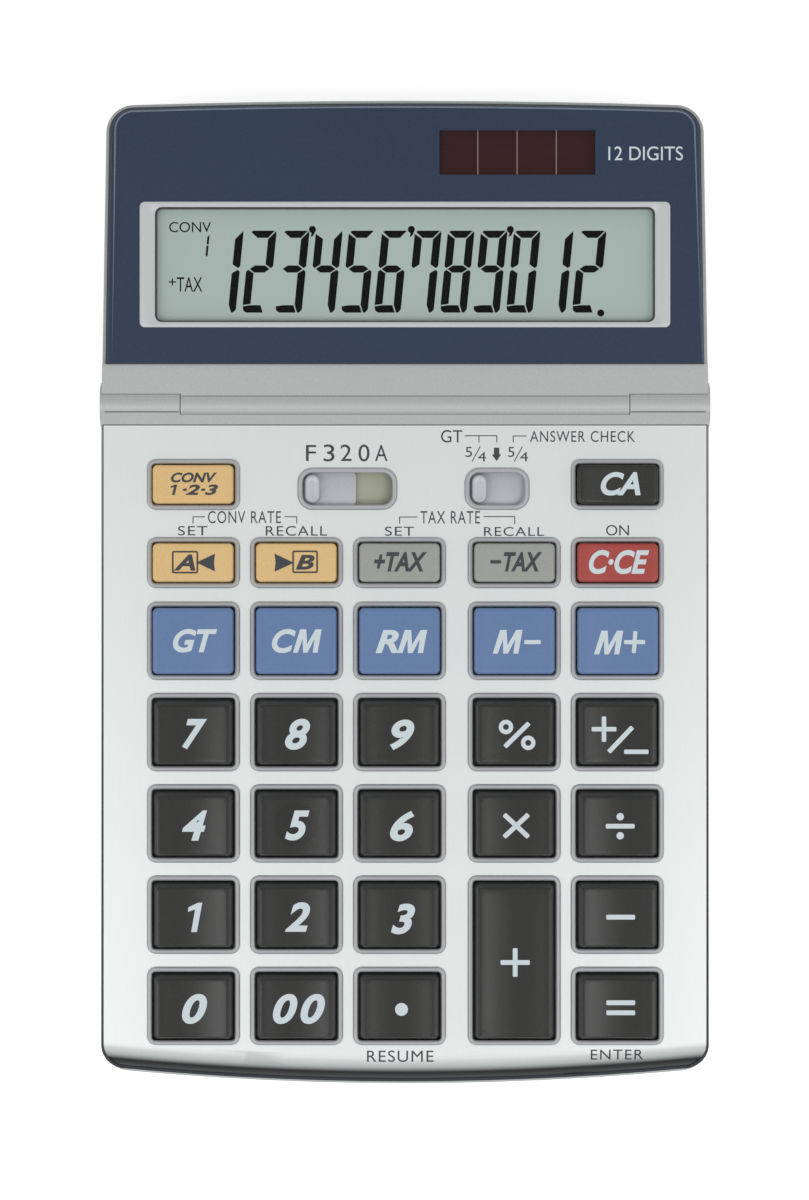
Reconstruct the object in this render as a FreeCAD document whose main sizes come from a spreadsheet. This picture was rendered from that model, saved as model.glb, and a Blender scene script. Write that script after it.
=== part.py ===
import FreeCAD, Part
import math
import os
import Sketcher

# Desktop calculator: a wedge-shaped keyboard base with a tilting display carried on a barrel hinge.
#
# Keyboard frame, used for every dimension below: x to the right, y away from the user, z square to the
# keyboard, with its origin on the face plate. The whole part stands on its rubber feet, so seat() leans
# that frame back by the slope and lifts it to its height above the table.

doc = FreeCAD.newDocument("desktop_calculator")
sheet = doc.addObject("Spreadsheet::Sheet", "Sizes")

# Millimetres, or degrees where the note says so.
SIZES = [
    ("slope", 3.5, "lean of the keyboard, in degrees"),
    ("front_height", 10.5, "face plate above the table at the front edge"),
    ("case_width", 109.5, "width of the case"),
    ("front_reach", 88.7, "middle of the front edge from the keyboard origin"),
    ("front_arc", 548, "plan radius of the front edge"),
    ("case_corner", 5.0, "plan radius of the front corners"),
    ("case_wall", 1.6, "wall of the two base shells"),
    ("front_wall", 4.0, "front edge of the base to the room under the deck"),
    ("parting_depth", 6.5, "face plate down to the joint of the base shells"),
    ("bottom_bevel", 1.2, "bevel along the lower edge of the base"),
    ("rim_width", 0.45, "case rim that shows outside the face plate"),
    ("rim_drop", 0.9, "face plate down to the rim at the sides"),
    ("front_rim_width", 0.7, "case rim in front of the face plate"),
    ("front_rim_drop", 3.9, "face plate down to the rim at the front"),
    ("rim_bend_rear", 76.0, "where the rim starts down towards the front"),
    ("rim_bend_front", 84.5, "where the rim reaches its front height"),
    ("plate_thickness", 0.5, "face plate sheet"),
    ("plate_rear", 30.2, "rear edge of the face plate"),
    ("plate_gap", 0.1, "gap round the face plate and its apertures"),
    ("front_curve", 4.8, "radius by which the face plate rolls over the front edge"),
    ("deck_thickness", 1.5, "keyboard deck under the face plate"),
    ("bezel_rise", 0.4, "bezel above the face plate"),
    ("bezel_width", 16.55, "bezel of a key, across"),
    ("bezel_depth", 13.95, "bezel of a full key, front to back"),
    ("small_bezel_depth", 9.0, "bezel of a small key, front to back"),
    ("bezel_rim", 0.8, "width of a bezel's rim"),
    ("bezel_corner", 1.5, "cut across the outer corners of a bezel"),
    ("column_first", -38.07, "centre of the first key column"),
    ("column_pitch", 18.54, "key columns, centre to centre"),
    ("column_break", 2.11, "extra room before the fourth column"),
    ("row_first", 19.53, "centre of the top key row"),
    ("small_pitch", 14.07, "upper three rows, centre to centre"),
    ("row_pitch", 16.43, "lower rows, centre to centre"),
    ("key_clearance", 0.2, "keycap to its aperture, each side"),
    ("key_shoulder", 0.3, "height of the keycap's upright sides above the face plate"),
    ("key_rise", 2.5, "top of a keycap above the face plate"),
    ("key_side_slope", 0.75, "how far the sides of a black keycap run in"),
    ("key_rear_slope", 1.02, "how far the rear of a black keycap runs in"),
    ("key_front_slope", 0.58, "how far the front of a black keycap runs in"),
    ("colour_key_slope", 0.4, "how far each side of a coloured keycap runs in"),
    ("key_dish", 80.0, "radius of the dish in a keycap"),
    ("flange_width", 0.45, "keycap flange beyond the aperture, each side"),
    ("flange_thickness", 0.9, "keycap flange"),
    ("rest_gap", 0.05, "gap between pieces that rest on one another"),
    ("key_travel", 1.5, "stroke of a key"),
    ("mat_top", 5.4, "face plate down to the sheet of the key mat"),
    ("mat_thickness", 0.7, "sheet of the key mat"),
    ("mat_front", 80.5, "front edge of the key mat"),
    ("mat_rear", 24.0, "rear edge of the key mat"),
    ("dome_width", 5.0, "foot of a rubber dome"),
    ("board_thickness", 1.2, "keyboard circuit board"),
    ("board_side_gap", 0.65, "side walls of the base to the keyboard circuit board"),
    ("board_front", 81.5, "front edge of the keyboard circuit board"),
    ("board_rear", 27.0, "rear edge of the keyboard circuit board"),
    ("hinge_y", 34.0, "hinge axis"),
    ("barrel_radius", 4.0, "hinge barrel"),
    ("barrel_rise", 0.3, "top of the barrel above the strips beside it"),
    ("barrel_gap", 0.15, "running gap round and at the ends of the barrel"),
    ("knuckle_length", 14.4, "knuckle at each end of the barrel"),
    ("knuckle_proud", 0.2, "outer end of a knuckle beyond the side of the case"),
    ("rear_slant", 2.5, "how far the rear wall leans in towards the table"),
    ("pin_radius", 1.25, "hinge pin"),
    ("pin_length", 14.0, "hinge pin"),
    ("sleeve_wall", 0.8, "friction sleeve round a hinge pin"),
    ("sleeve_length", 6.5, "friction sleeve"),
    ("sleeve_slit", 0.8, "slit along a friction sleeve"),
    ("running_gap", 0.03, "radial gap of pin, sleeve and screw fits"),
    ("foot_height", 1.0, "underside of the case above the table"),
    ("foot_radius", 4.0, "rubber foot"),
    ("foot_recess", 0.6, "depth of the recess that holds a foot"),
    ("foot_inset", 16.75, "rubber feet, from the side of the case"),
    ("foot_front", 79.0, "front feet, from the origin"),
    ("foot_rear", 25.0, "rear feet, from the origin"),
    ("floor_thickness", 1.5, "floor of the lower shell"),
    ("post_radius", 2.8, "screw post of the case"),
    ("boss_radius", 1.9, "screw boss of the display housing"),
    ("post_inset", 5.55, "screw posts, from the side of the case"),
    ("post_front", 77.5, "front case screws"),
    ("post_rear", 22.0, "rear case screws"),
    ("screw_seat", 1.0, "shelf under the head of a case screw"),
    ("screw_radius", 1.0, "shank of every screw"),
    ("screw_head", 1.8, "head radius of every screw"),
    ("screw_head_height", 0.8, "head height of every screw"),
    ("screw_length", 5.6, "shank length of a case screw"),
    ("short_screw_length", 4.0, "shank length of the other screws"),
    ("head_clearance", 0.3, "room round a screw head or post"),
    ("shank_clearance", 0.15, "room round the shank of a screw"),
    ("screw_tip", 0.3, "hole left past the tip of a screw or pin"),
    ("battery_x", -20.0, "middle of the battery compartment"),
    ("battery_y", 6.0, "middle of the battery compartment"),
    ("cell_radius", 10.0, "coin cell"),
    ("cell_height", 3.2, "coin cell"),
    ("cell_gap", 0.2, "room round the coin cell"),
    ("bay_wall", 1.2, "wall of the battery compartment"),
    ("contact_room", 0.6, "room for the battery contacts above the cell"),
    ("contact_sheet", 0.25, "sheet of the battery contacts and wipers"),
    ("contact_width", 5.0, "width of a battery contact"),
    ("lid_lip", 1.5, "battery cover beyond the compartment, each side"),
    ("lid_tongue", 9.0, "battery cover beyond the compartment at its screw"),
    ("lid_gap", 0.1, "gap round the battery cover"),
    ("lid_corner", 2.0, "corner radius of the battery cover"),
    ("lid_seat", 0.6, "shelf under the head of the cover's screw"),
    ("chip_size", 14.0, "controller chip"),
    ("chip_height", 1.6, "controller chip"),
    ("chip_x", 20.0, "controller chip, to the right"),
    ("chip_y", 12.0, "controller chip, to the rear"),
    ("slide_y", 18.76, "middle of the two slide switches"),
    ("decimal_x", -10.36, "middle of the decimal switch opening"),
    ("decimal_bezel_width", 17.75, "bezel of the decimal switch, across"),
    ("rounding_x", 16.57, "middle of the rounding switch opening"),
    ("rounding_bezel_width", 11.5, "bezel of the rounding switch, across"),
    ("slide_bezel_depth", 7.4, "bezel of a slide switch, front to back"),
    ("slide_bezel_corner", 2.6, "outer corner radius of a slide switch bezel"),
    ("slide_deck", 0.8, "deck left over the slide switches"),
    ("slide_step", 3.13, "slide switch, from one position to the next"),
    ("slide_height", 1.2, "upper plate of a slide switch"),
    ("slide_depth", 6.2, "slide switch carriage, front to back"),
    ("slide_gap", 0.1, "slide switch to its guides"),
    ("slide_cover", 0.4, "slide switch hidden under the rim of its opening"),
    ("slide_plate", 9.6, "raised plate of the decimal switch from the end of its opening"),
    ("slide_floor", 0.8, "lower plate of a slide switch"),
    ("slide_tail", 10.8, "lower plate of the decimal switch past its raised plate"),
    ("leg_width", 1.2, "legs of a slide switch, across"),
    ("wiper_reach", 3.0, "half the length of a slide switch's wiper"),
    ("grip_width", 2.7, "grip of a slide switch, across"),
    ("grip_depth", 5.0, "grip of a slide switch, front to back"),
    ("grip_rise", 0.9, "top of a grip above the face plate"),
    ("grip_inset", 0.45, "grip from the end of its opening"),
    ("guide_wall", 0.9, "guide ribs beside a slide switch"),
    ("guide_height", 3.8, "guide ribs under the deck"),
    ("display_reach", 88.7, "middle of the display's rear edge from the origin"),
    ("display_arc", 1580, "plan radius of the display's rear edge"),
    ("display_side_gap", 0.1, "display at the hinge, in from the side of the case"),
    ("display_taper", 0.9, "how far each side runs in towards the rear"),
    ("display_corner", 5.0, "plan radius of the display's rear corners"),
    ("display_wall", 1.4, "wall of the display housing"),
    ("display_deck", 1.4, "deck of the display housing"),
    ("display_parting", 4.4, "strip down to the joint of the display shells"),
    ("display_bottom", 8.6, "strip down to the back of the display"),
    ("display_back_round", 1.2, "round along the back cover's edge"),
    ("cover_start", 1.4, "front edge of the back cover from the hinge axis"),
    ("panel_front", 41.3, "front edge of the blue panel"),
    ("panel_inset", 0.75, "housing rim that shows round the blue panel"),
    ("panel_drop", 0.8, "strip down to the seat of the blue panel"),
    ("panel_thickness", 1.1, "blue panel"),
    ("panel_bevel", 0.35, "bevel along the blue panel's edge"),
    ("window_y", 59.12, "middle of the display window"),
    ("frame_side_gap", 6.85, "silver frame of the window, in from the side of the display"),
    ("frame_side", 2.85, "silver frame to the left and right of its opening"),
    ("frame_end", 1.05, "silver frame in front of its opening and behind it"),
    ("frame_corner", 0.9, "corner radius of the silver frame"),
    ("frame_opening_depth", 20.6, "opening of the silver frame, front to back"),
    ("frame_fit", 0.05, "gap round the silver frame and the solar cell"),
    ("pane_overlap", 0.5, "window pane under the silver frame, each side"),
    ("pane_thickness", 0.8, "window pane"),
    ("pane_ledge", 0.8, "ledge under the window pane"),
    ("lcd_side", 2.55, "liquid crystal cell to the left and right of the opening"),
    ("lcd_end", 2.2, "liquid crystal cell in front of the opening and behind it"),
    ("lcd_thickness", 1.8, "liquid crystal cell"),
    ("lcd_ledge", 2.0, "front glass of the cell past its rear glass"),
    ("strip_inset", 2.5, "elastomer strips, in from the ends of the cell"),
    ("strip_depth", 1.6, "elastomer strips between the cell and its board"),
    ("strip_height", 2.0, "elastomer strips between the cell and its board"),
    ("display_board_gap", 3.15, "display circuit board, in from the side of the display"),
    ("display_board_depth", 33.0, "display circuit board"),
    ("display_board_thickness", 1.0, "display circuit board"),
    ("display_post_inset", 4.75, "screw posts of the display, in from its side"),
    ("display_post_pitch", 28.0, "screw posts in the display, front to rear"),
    ("display_screw_seat", 1.0, "shelf under the head of a display screw"),
    ("solar_x", 20.22, "middle of the solar cell"),
    ("solar_y", 79.31, "middle of the solar cell"),
    ("solar_width", 28.05, "opening over the solar cell"),
    ("solar_depth", 8.05, "opening over the solar cell"),
    ("solar_overlap", 1.1, "solar cell under the blue panel, each side"),
    ("solar_thickness", 0.8, "solar cell"),
    ("ribbon_width", 16.0, "ribbon cable"),
    ("ribbon_sheet", 0.2, "ribbon cable"),
    ("ribbon_room", 0.7, "room above and below the ribbon in its slots"),
    ("ribbon_bore", 2.3, "hollow of the barrel along the ribbon"),
    ("ribbon_margin", 0.35, "straight ribbon past the walls it goes through"),
    ("ribbon_sweep", 46.0, "how far round the barrel the ribbon slot reaches, in degrees"),
]

for number, (alias, size, note) in enumerate(SIZES, 1):
    sheet.set(f"A{number}", note)
    sheet.set(f"B{number}", str(size))
    sheet.setAlias(f"B{number}", alias)
doc.recompute()

# Where the keyboard origin stands, so that the part is centred over its own origin.
ROW_Z = "(Sizes.front_height + Sizes.front_reach * sin(Sizes.slope))"
LEAN_SHIFT = "(Sizes.front_rim_drop + Sizes.display_parting) * sin(Sizes.slope)"
ROW_Y = f"(((Sizes.front_reach - Sizes.display_reach) * cos(Sizes.slope) - {LEAN_SHIFT}) / 2)"
BARREL_Z = "(Sizes.barrel_rise - Sizes.barrel_radius)"
KNUCKLE_END = "(Sizes.case_width / 2 + Sizes.knuckle_proud)"
BARREL_HALF = f"({KNUCKLE_END} - Sizes.knuckle_length - Sizes.barrel_gap)"
POST_X = "(Sizes.case_width / 2 - Sizes.post_inset)"
BOARD_WIDTH = "(Sizes.case_width - 2 * (Sizes.case_wall + Sizes.board_side_gap))"
DISPLAY_WIDTH = "(Sizes.case_width - 2 * Sizes.display_side_gap)"
DISPLAY_POST_X = f"({DISPLAY_WIDTH} / 2 - Sizes.display_post_inset)"
FLANGE_TOP = "(-Sizes.plate_thickness - Sizes.deck_thickness - Sizes.rest_gap)"
DECK_BOTTOM = "(-Sizes.plate_thickness - Sizes.deck_thickness)"
BOARD_TOP = "(-Sizes.mat_top - Sizes.mat_thickness)"
BOARD_BOTTOM = f"({BOARD_TOP} - Sizes.board_thickness)"
KEY_BOTTOM = f"({FLANGE_TOP} - Sizes.flange_thickness)"
ROOM_REAR = "(Sizes.hinge_y - Sizes.barrel_radius - Sizes.barrel_gap - Sizes.case_wall)"
DISPLAY_ROOM = "(Sizes.hinge_y + Sizes.barrel_radius + Sizes.barrel_gap + Sizes.display_wall)"
DISPLAY_DECK = "(-Sizes.panel_drop - Sizes.display_deck)"
LCD_TOP = f"({DISPLAY_DECK} - Sizes.rest_gap)"
STRIP_TOP = f"({LCD_TOP} - Sizes.lcd_thickness / 2 - Sizes.running_gap)"
DISPLAY_BOARD_TOP = f"({STRIP_TOP} - Sizes.strip_height - Sizes.running_gap)"
DISPLAY_BOARD_BOTTOM = f"({DISPLAY_BOARD_TOP} - Sizes.display_board_thickness)"
CASE_SCREW_SEAT = f"({BOARD_BOTTOM} - Sizes.screw_seat)"
DISPLAY_SCREW_SEAT = f"({DISPLAY_BOARD_BOTTOM} - Sizes.display_screw_seat)"
SLEEVE_BORE = "(Sizes.pin_radius + Sizes.sleeve_wall + 2 * Sizes.running_gap)"
PILOT = "(Sizes.screw_radius + Sizes.running_gap)"
SHANK_ROOM = "(Sizes.screw_radius + Sizes.shank_clearance)"
HEAD_ROOM = "(Sizes.screw_head + Sizes.head_clearance)"
FRAME_WIDTH = f"({DISPLAY_WIDTH} - 2 * Sizes.frame_side_gap)"
FRAME_DEPTH = "(Sizes.frame_opening_depth + 2 * Sizes.frame_end)"
OPENING_WIDTH = f"({FRAME_WIDTH} - 2 * Sizes.frame_side)"
PANE_WIDTH = f"({OPENING_WIDTH} + 2 * Sizes.pane_overlap)"
PANE_DEPTH = "(Sizes.frame_opening_depth + 2 * Sizes.pane_overlap)"
LCD_WIDTH = f"({OPENING_WIDTH} + 2 * Sizes.lcd_side)"
LCD_DEPTH = "(Sizes.frame_opening_depth + 2 * Sizes.lcd_end)"
SOLAR_WIDTH = "(Sizes.solar_width + 2 * Sizes.solar_overlap)"
SOLAR_DEPTH = "(Sizes.solar_depth + 2 * Sizes.solar_overlap)"
BAY = "(2 * (Sizes.cell_radius + Sizes.cell_gap))"
BAY_HEIGHT = "(Sizes.cell_height + Sizes.contact_room + Sizes.running_gap)"
LID_WIDTH = f"({BAY} + Sizes.lid_lip + Sizes.lid_tongue)"
LID_DEPTH = f"({BAY} + 2 * Sizes.lid_lip)"
LID_X = "(Sizes.battery_x + (Sizes.lid_tongue - Sizes.lid_lip) / 2)"
LID_SCREW_X = f"(Sizes.battery_x + {BAY} / 2 + Sizes.lid_tongue / 2)"


def column_x(column):
    """Centre of a key column, counted from the left."""
    extra = " + Sizes.column_break" if column > 2 else ""
    return f"(Sizes.column_first + {column} * Sizes.column_pitch{extra})"


def row_y(row):
    """Centre of a key row, counted from the top; a half row lies between two rows."""
    small, full = min(row, 2), max(row - 2, 0)
    return f"(Sizes.row_first - {small} * Sizes.small_pitch - {full} * Sizes.row_pitch)"


# Bezel openings: name, kind, first column, first row, columns, rows.
KEY_BLOCKS = [
    ("convert", "small", 0, 0, 1, 1),
    ("clear_all", "small", 4, 0, 1, 1),
    ("upper_left", "small", 0, 1, 3, 1),
    ("upper_right", "small", 3, 1, 2, 1),
    ("left_block", "full", 0, 2, 3, 5),
    ("middle_block", "full", 3, 2, 1, 3),
    ("right_block", "full", 4, 2, 1, 5),
    ("plus", "tall", 3, 5.5, 1, 1),
]


def both_sides(x, y):
    """The same spot on the left and on the right."""
    return [(f"-({x})", y), (x, y)]


FRONT_POSTS = both_sides(POST_X, "-Sizes.post_front")
REAR_POSTS = both_sides(POST_X, "Sizes.post_rear")
CASE_POSTS = FRONT_POSTS + REAR_POSTS
DISPLAY_POSTS = both_sides(DISPLAY_POST_X, "Sizes.window_y - Sizes.display_post_pitch / 2")
DISPLAY_POSTS += both_sides(DISPLAY_POST_X, "Sizes.window_y + Sizes.display_post_pitch / 2")
FOOT_X = "(Sizes.case_width / 2 - Sizes.foot_inset)"
FEET = both_sides(FOOT_X, "-Sizes.foot_front") + both_sides(FOOT_X, "Sizes.foot_rear")

BEZEL_DEPTH = {
    "small": "Sizes.small_bezel_depth",
    "full": "Sizes.bezel_depth",
    "tall": "(Sizes.bezel_depth + Sizes.row_pitch)",
}

# Keycaps: name, kind, black or coloured, column, row.
KEYS = [
    ("key_convert", "small", "coloured", 0, 0),
    ("key_clear_all", "small", "coloured", 4, 0),
    ("key_rate_a", "small", "coloured", 0, 1),
    ("key_rate_b", "small", "coloured", 1, 1),
    ("key_tax_plus", "small", "coloured", 2, 1),
    ("key_tax_minus", "small", "coloured", 3, 1),
    ("key_clear", "small", "coloured", 4, 1),
    ("key_grand_total", "full", "coloured", 0, 2),
    ("key_memory_clear", "full", "coloured", 1, 2),
    ("key_memory_recall", "full", "coloured", 2, 2),
    ("key_memory_minus", "full", "coloured", 3, 2),
    ("key_memory_plus", "full", "coloured", 4, 2),
    ("key_7", "full", "black", 0, 3),
    ("key_8", "full", "black", 1, 3),
    ("key_9", "full", "black", 2, 3),
    ("key_percent", "full", "black", 3, 3),
    ("key_sign", "full", "black", 4, 3),
    ("key_4", "full", "black", 0, 4),
    ("key_5", "full", "black", 1, 4),
    ("key_6", "full", "black", 2, 4),
    ("key_multiply", "full", "black", 3, 4),
    ("key_divide", "full", "black", 4, 4),
    ("key_1", "full", "black", 0, 5),
    ("key_2", "full", "black", 1, 5),
    ("key_3", "full", "black", 2, 5),
    ("key_minus", "full", "black", 4, 5),
    ("key_0", "full", "black", 0, 6),
    ("key_00", "full", "black", 1, 6),
    ("key_point", "full", "black", 2, 6),
    ("key_plus", "tall", "black", 3, 5.5),
    ("key_equals", "full", "black", 4, 6),
]

# Slide switches: name, opening centre, bezel width, steps of travel.
SLIDES = [
    ("decimal", "Sizes.decimal_x", "Sizes.decimal_bezel_width", 4),
    ("rounding", "Sizes.rounding_x", "Sizes.rounding_bezel_width", 2),
]

parts = []


def size(expression):
    """The present value of an expression over the sheet."""
    return float(sheet.evalExpression(expression))


def seat(item, x="0", y="0", z="0"):
    """Puts an object's origin at a point of the keyboard frame and leans it back with the keyboard."""
    item.Placement = FreeCAD.Placement(FreeCAD.Vector(), FreeCAD.Rotation(FreeCAD.Vector(1, 0, 0), 1))
    item.setExpression("Placement.Rotation.Angle", "Sizes.slope")
    item.setExpression("Placement.Base.x", x)
    level, rise = "cos(Sizes.slope)", "sin(Sizes.slope)"
    item.setExpression("Placement.Base.y", f"{ROW_Y} + ({y}) * {level} - ({z}) * {rise}")
    item.setExpression("Placement.Base.z", f"{ROW_Z} + ({y}) * {rise} + ({z}) * {level}")


def new_body(label, **where):
    """A body of the part, placed in the keyboard frame."""
    body = doc.addObject("PartDesign::Body", label)
    body.Label = label
    seat(body, **where)
    parts.append(body)
    return body


def origin_item(body, role):
    """One of a body's own planes or axes."""
    return next(item for item in body.Origin.OriginFeatures if item.Role == role)


def new_sketch(body, name, plane="XY_Plane", offset="0"):
    """A sketch on one of the body's planes, moved along the plane's normal."""
    sketch = body.newObject("Sketcher::SketchObject", f"{body.Name}_{name}")
    sketch.AttachmentSupport = [(origin_item(body, plane), "")]
    sketch.MapMode = "FlatFace"
    sketch.setExpression("AttachmentOffset.Base.z", offset)
    return sketch


def floor_sketch(body, name, height):
    """A sketch parallel to the table, at a height above it, in a body seated at the keyboard origin."""
    sketch = new_sketch(body, name)
    drop = f"(({height}) - {ROW_Z})"
    turn = FreeCAD.Rotation(FreeCAD.Vector(1, 0, 0), -1)
    sketch.AttachmentOffset = FreeCAD.Placement(FreeCAD.Vector(), turn)
    sketch.setExpression("AttachmentOffset.Rotation.Angle", "-Sizes.slope")
    sketch.setExpression("AttachmentOffset.Base.y", f"{drop} * sin(Sizes.slope)")
    sketch.setExpression("AttachmentOffset.Base.z", f"{drop} * cos(Sizes.slope)")
    return sketch


def constrain(sketch, kind, *geometry, bound):
    """A driving dimension whose value comes from the sheet."""
    index = sketch.addConstraint(Sketcher.Constraint(kind, *geometry, size(bound)))
    sketch.setExpression(f"Constraints[{index}]", bound)


def closed_profile(sketch, corners):
    """Joins corners into a loop. A corner is (x, y) or (x, y, radius): the radius bends the side to the
    next corner outwards on a loop drawn anticlockwise, and inwards where it is given as inwards."""
    count = len(corners)
    spots = [FreeCAD.Vector(size(corner[0]), size(corner[1]), 0) for corner in corners]
    first = sketch.GeometryCount
    for index, corner in enumerate(corners):
        start, end = spots[index], spots[(index + 1) % count]
        if len(corner) == 2:
            sketch.addGeometry(Part.LineSegment(start, end), False)
            continue
        chord = end - start
        side = 1 if len(corner) == 3 else -1
        left = FreeCAD.Vector(-chord.y, chord.x, 0).normalize() * side
        radius = size(corner[2])
        middle = (start + end) * 0.5
        centre = middle + left * math.sqrt(radius**2 - (chord.Length / 2) ** 2)
        crown = centre - left * radius
        sketch.addGeometry(Part.Arc(start, crown, end), False)
    for index, corner in enumerate(corners):
        here, after = first + index, first + (index + 1) % count
        end_point = 1 if len(corner) == 4 else 2
        start_point = 2 if len(corners[(index + 1) % count]) == 4 else 1
        sketch.addConstraint(Sketcher.Constraint("Coincident", here, end_point, after, start_point))
    for index, corner in enumerate(corners):
        start_point = 2 if len(corner) == 4 else 1
        constrain(sketch, "DistanceX", -1, 1, first + index, start_point, bound=corner[0])
        constrain(sketch, "DistanceY", -1, 1, first + index, start_point, bound=corner[1])
        if len(corner) > 2:
            constrain(sketch, "Radius", first + index, bound=corner[2])


def rectangle(sketch, width, depth, x="0", y="0", corner=None):
    """A rectangle about a centre, with rounded corners where a radius is given."""
    half_w, half_d = size(width) / 2, size(depth) / 2
    mid_x, mid_y = size(x), size(y)
    round_off = size(corner) if corner else 0
    first = sketch.GeometryCount
    ends = [
        ((-half_w + round_off, -half_d), (half_w - round_off, -half_d)),
        ((half_w, -half_d + round_off), (half_w, half_d - round_off)),
        ((half_w - round_off, half_d), (-half_w + round_off, half_d)),
        ((-half_w, half_d - round_off), (-half_w, -half_d + round_off)),
    ]
    for start, end in ends:
        spots = [FreeCAD.Vector(mid_x + px, mid_y + py, 0) for px, py in (start, end)]
        sketch.addGeometry(Part.LineSegment(*spots), False)
    if corner:
        signs = [(1, -1), (1, 1), (-1, 1), (-1, -1)]
        for quarter, (sx, sy) in enumerate(signs):
            centre = FreeCAD.Vector(mid_x + sx * (half_w - round_off), mid_y + sy * (half_d - round_off), 0)
            circle = Part.Circle(centre, FreeCAD.Vector(0, 0, 1), round_off)
            begin = math.radians(90 * quarter - 90)
            sketch.addGeometry(Part.ArcOfCircle(circle, begin, begin + math.pi / 2), False)
        for side in range(4):
            arc, after = first + 4 + side, first + (side + 1) % 4
            sketch.addConstraint(Sketcher.Constraint("Tangent", first + side, 2, arc, 1))
            sketch.addConstraint(Sketcher.Constraint("Tangent", arc, 2, after, 1))
        for side in range(5, 8):
            sketch.addConstraint(Sketcher.Constraint("Equal", first + 4, first + side))
        constrain(sketch, "Radius", first + 4, bound=corner)
    else:
        for side in range(4):
            after = first + (side + 1) % 4
            sketch.addConstraint(Sketcher.Constraint("Coincident", first + side, 2, after, 1))
    for side in (0, 2):
        sketch.addConstraint(Sketcher.Constraint("Horizontal", first + side))
        sketch.addConstraint(Sketcher.Constraint("Vertical", first + side + 1))
    constrain(sketch, "DistanceX", first + 3, 1, first + 1, 1, bound=width)
    constrain(sketch, "DistanceY", first, 1, first + 2, 1, bound=depth)
    constrain(sketch, "DistanceX", -1, 1, first + 1, 1, bound=f"({x}) + ({width}) / 2")
    constrain(sketch, "DistanceY", -1, 1, first + 2, 1, bound=f"({y}) + ({depth}) / 2")


def octagon(sketch, radius, x="0", y="0"):
    """Eight sides round a circle of the given radius, which keeps hidden posts and holes light."""
    clipped(sketch, f"(2 * {radius})", f"(2 * {radius})", f"({radius} * (2 - sqrt(2)))", x, y)


def clipped(sketch, width, depth, cut, x="0", y="0"):
    """A rectangle about a centre, with its corners cut off."""
    half_w, half_d = f"(({width}) / 2)", f"(({depth}) / 2)"
    long_w, long_d = f"({half_w} - ({cut}))", f"({half_d} - ({cut}))"
    corners = []
    for sx, sy in ((1, -1), (1, 1), (-1, 1), (-1, -1)):
        ends = [(long_w, half_d), (half_w, long_d)]
        for across, along in ends if sx != sy else reversed(ends):
            corners.append((f"({x}) + {sx} * {across}", f"({y}) + {sy} * {along}"))
    closed_profile(sketch, corners)


def circle(sketch, radius, x="0", y="0"):
    centre = FreeCAD.Vector(size(x), size(y), 0)
    index = sketch.addGeometry(Part.Circle(centre, FreeCAD.Vector(0, 0, 1), size(radius)), False)
    constrain(sketch, "Radius", index, bound=radius)
    constrain(sketch, "DistanceX", -1, 1, index, 3, bound=x)
    constrain(sketch, "DistanceY", -1, 1, index, 3, bound=y)


def feature(kind, body, sketch, tag):
    item = body.newObject(f"PartDesign::{kind}", f"{sketch.Name}_{tag}")
    item.Profile = sketch
    item.Refine = False
    return item


def pad(body, sketch, length, down=False, both_ways=False):
    item = feature("Pad", body, sketch, "pad")
    item.setExpression("Length", length)
    item.Reversed = down
    if both_ways:
        item.SideType = "Symmetric"
    return item


def pocket(body, sketch, length=None, up=False, both_ways=False):
    """Cuts a sketch into the body, all the way through where no length is given."""
    item = feature("Pocket", body, sketch, "cut")
    if length is None:
        item.Type = "ThroughAll"
    else:
        item.setExpression("Length", length)
    item.Reversed = up
    if both_ways:
        item.SideType = "Symmetric"
    return item


def repeat(body, original, name, pitch_x, columns, pitch_y=None, rows=1):
    """Repeats a feature to the right and towards the user."""
    item = body.newObject("PartDesign::LinearPattern", f"{body.Name}_{name}")
    item.Originals = [original]
    item.Refine = False
    item.Direction = (origin_item(body, "X_Axis"), [""])
    item.Mode = "Spacing"
    item.setExpression("Offset", pitch_x)
    item.Occurrences = columns
    if rows > 1:
        item.Direction2 = (origin_item(body, "Y_Axis"), [""])
        item.Reversed2 = True
        item.Mode2 = "Spacing"
        item.setExpression("Offset2", pitch_y)
        item.Occurrences2 = rows
        item.Spacings2 = [-1] * (rows - 1)
    body.Tip = item
    return item


def mirror(body, originals, name):
    """Repeats features on the other side of the middle."""
    item = body.newObject("PartDesign::Mirrored", f"{body.Name}_{name}")
    item.Originals = originals
    item.Refine = False
    item.MirrorPlane = (origin_item(body, "YZ_Plane"), [""])
    body.Tip = item
    return item


def chosen_edges(body, wanted):
    """The names of the edges of the body's last feature that wanted accepts."""
    doc.recompute()
    edges = body.Tip.Shape.Edges
    return [f"Edge{number}" for number, edge in enumerate(edges, 1) if wanted(edge)]


def round_edges(body, name, radius, wanted):
    return dress_edges(body, name, "Fillet", "Radius", radius, wanted)


def bevel_edges(body, name, width, wanted):
    return dress_edges(body, name, "Chamfer", "Size", width, wanted)


def dress_edges(body, name, kind, measure, bound, wanted):
    names = chosen_edges(body, wanted)
    base = body.Tip
    item = body.newObject(f"PartDesign::{kind}", f"{body.Name}_{name}")
    item.Base = (base, names)
    item.Refine = False
    item.setExpression(measure, bound)
    return item


def upright(edge):
    """True for a straight edge square to the keyboard."""
    if not isinstance(edge.Curve, Part.Line):
        return False
    box = edge.BoundBox
    return box.XLength < 0.01 and box.YLength < 0.01


def combine(body, tool, kind):
    """Fuses a tool body into a body, or cuts it out."""
    item = body.newObject("PartDesign::Boolean", f"{body.Name}_{kind}_{tool.Name}")
    item.setObjects([tool])
    item.Type = kind
    item.Refine = False
    return item


def tool_body(label):
    """A body that only shapes another one; it stays at the keyboard origin."""
    return doc.addObject("PartDesign::Body", label)


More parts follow.
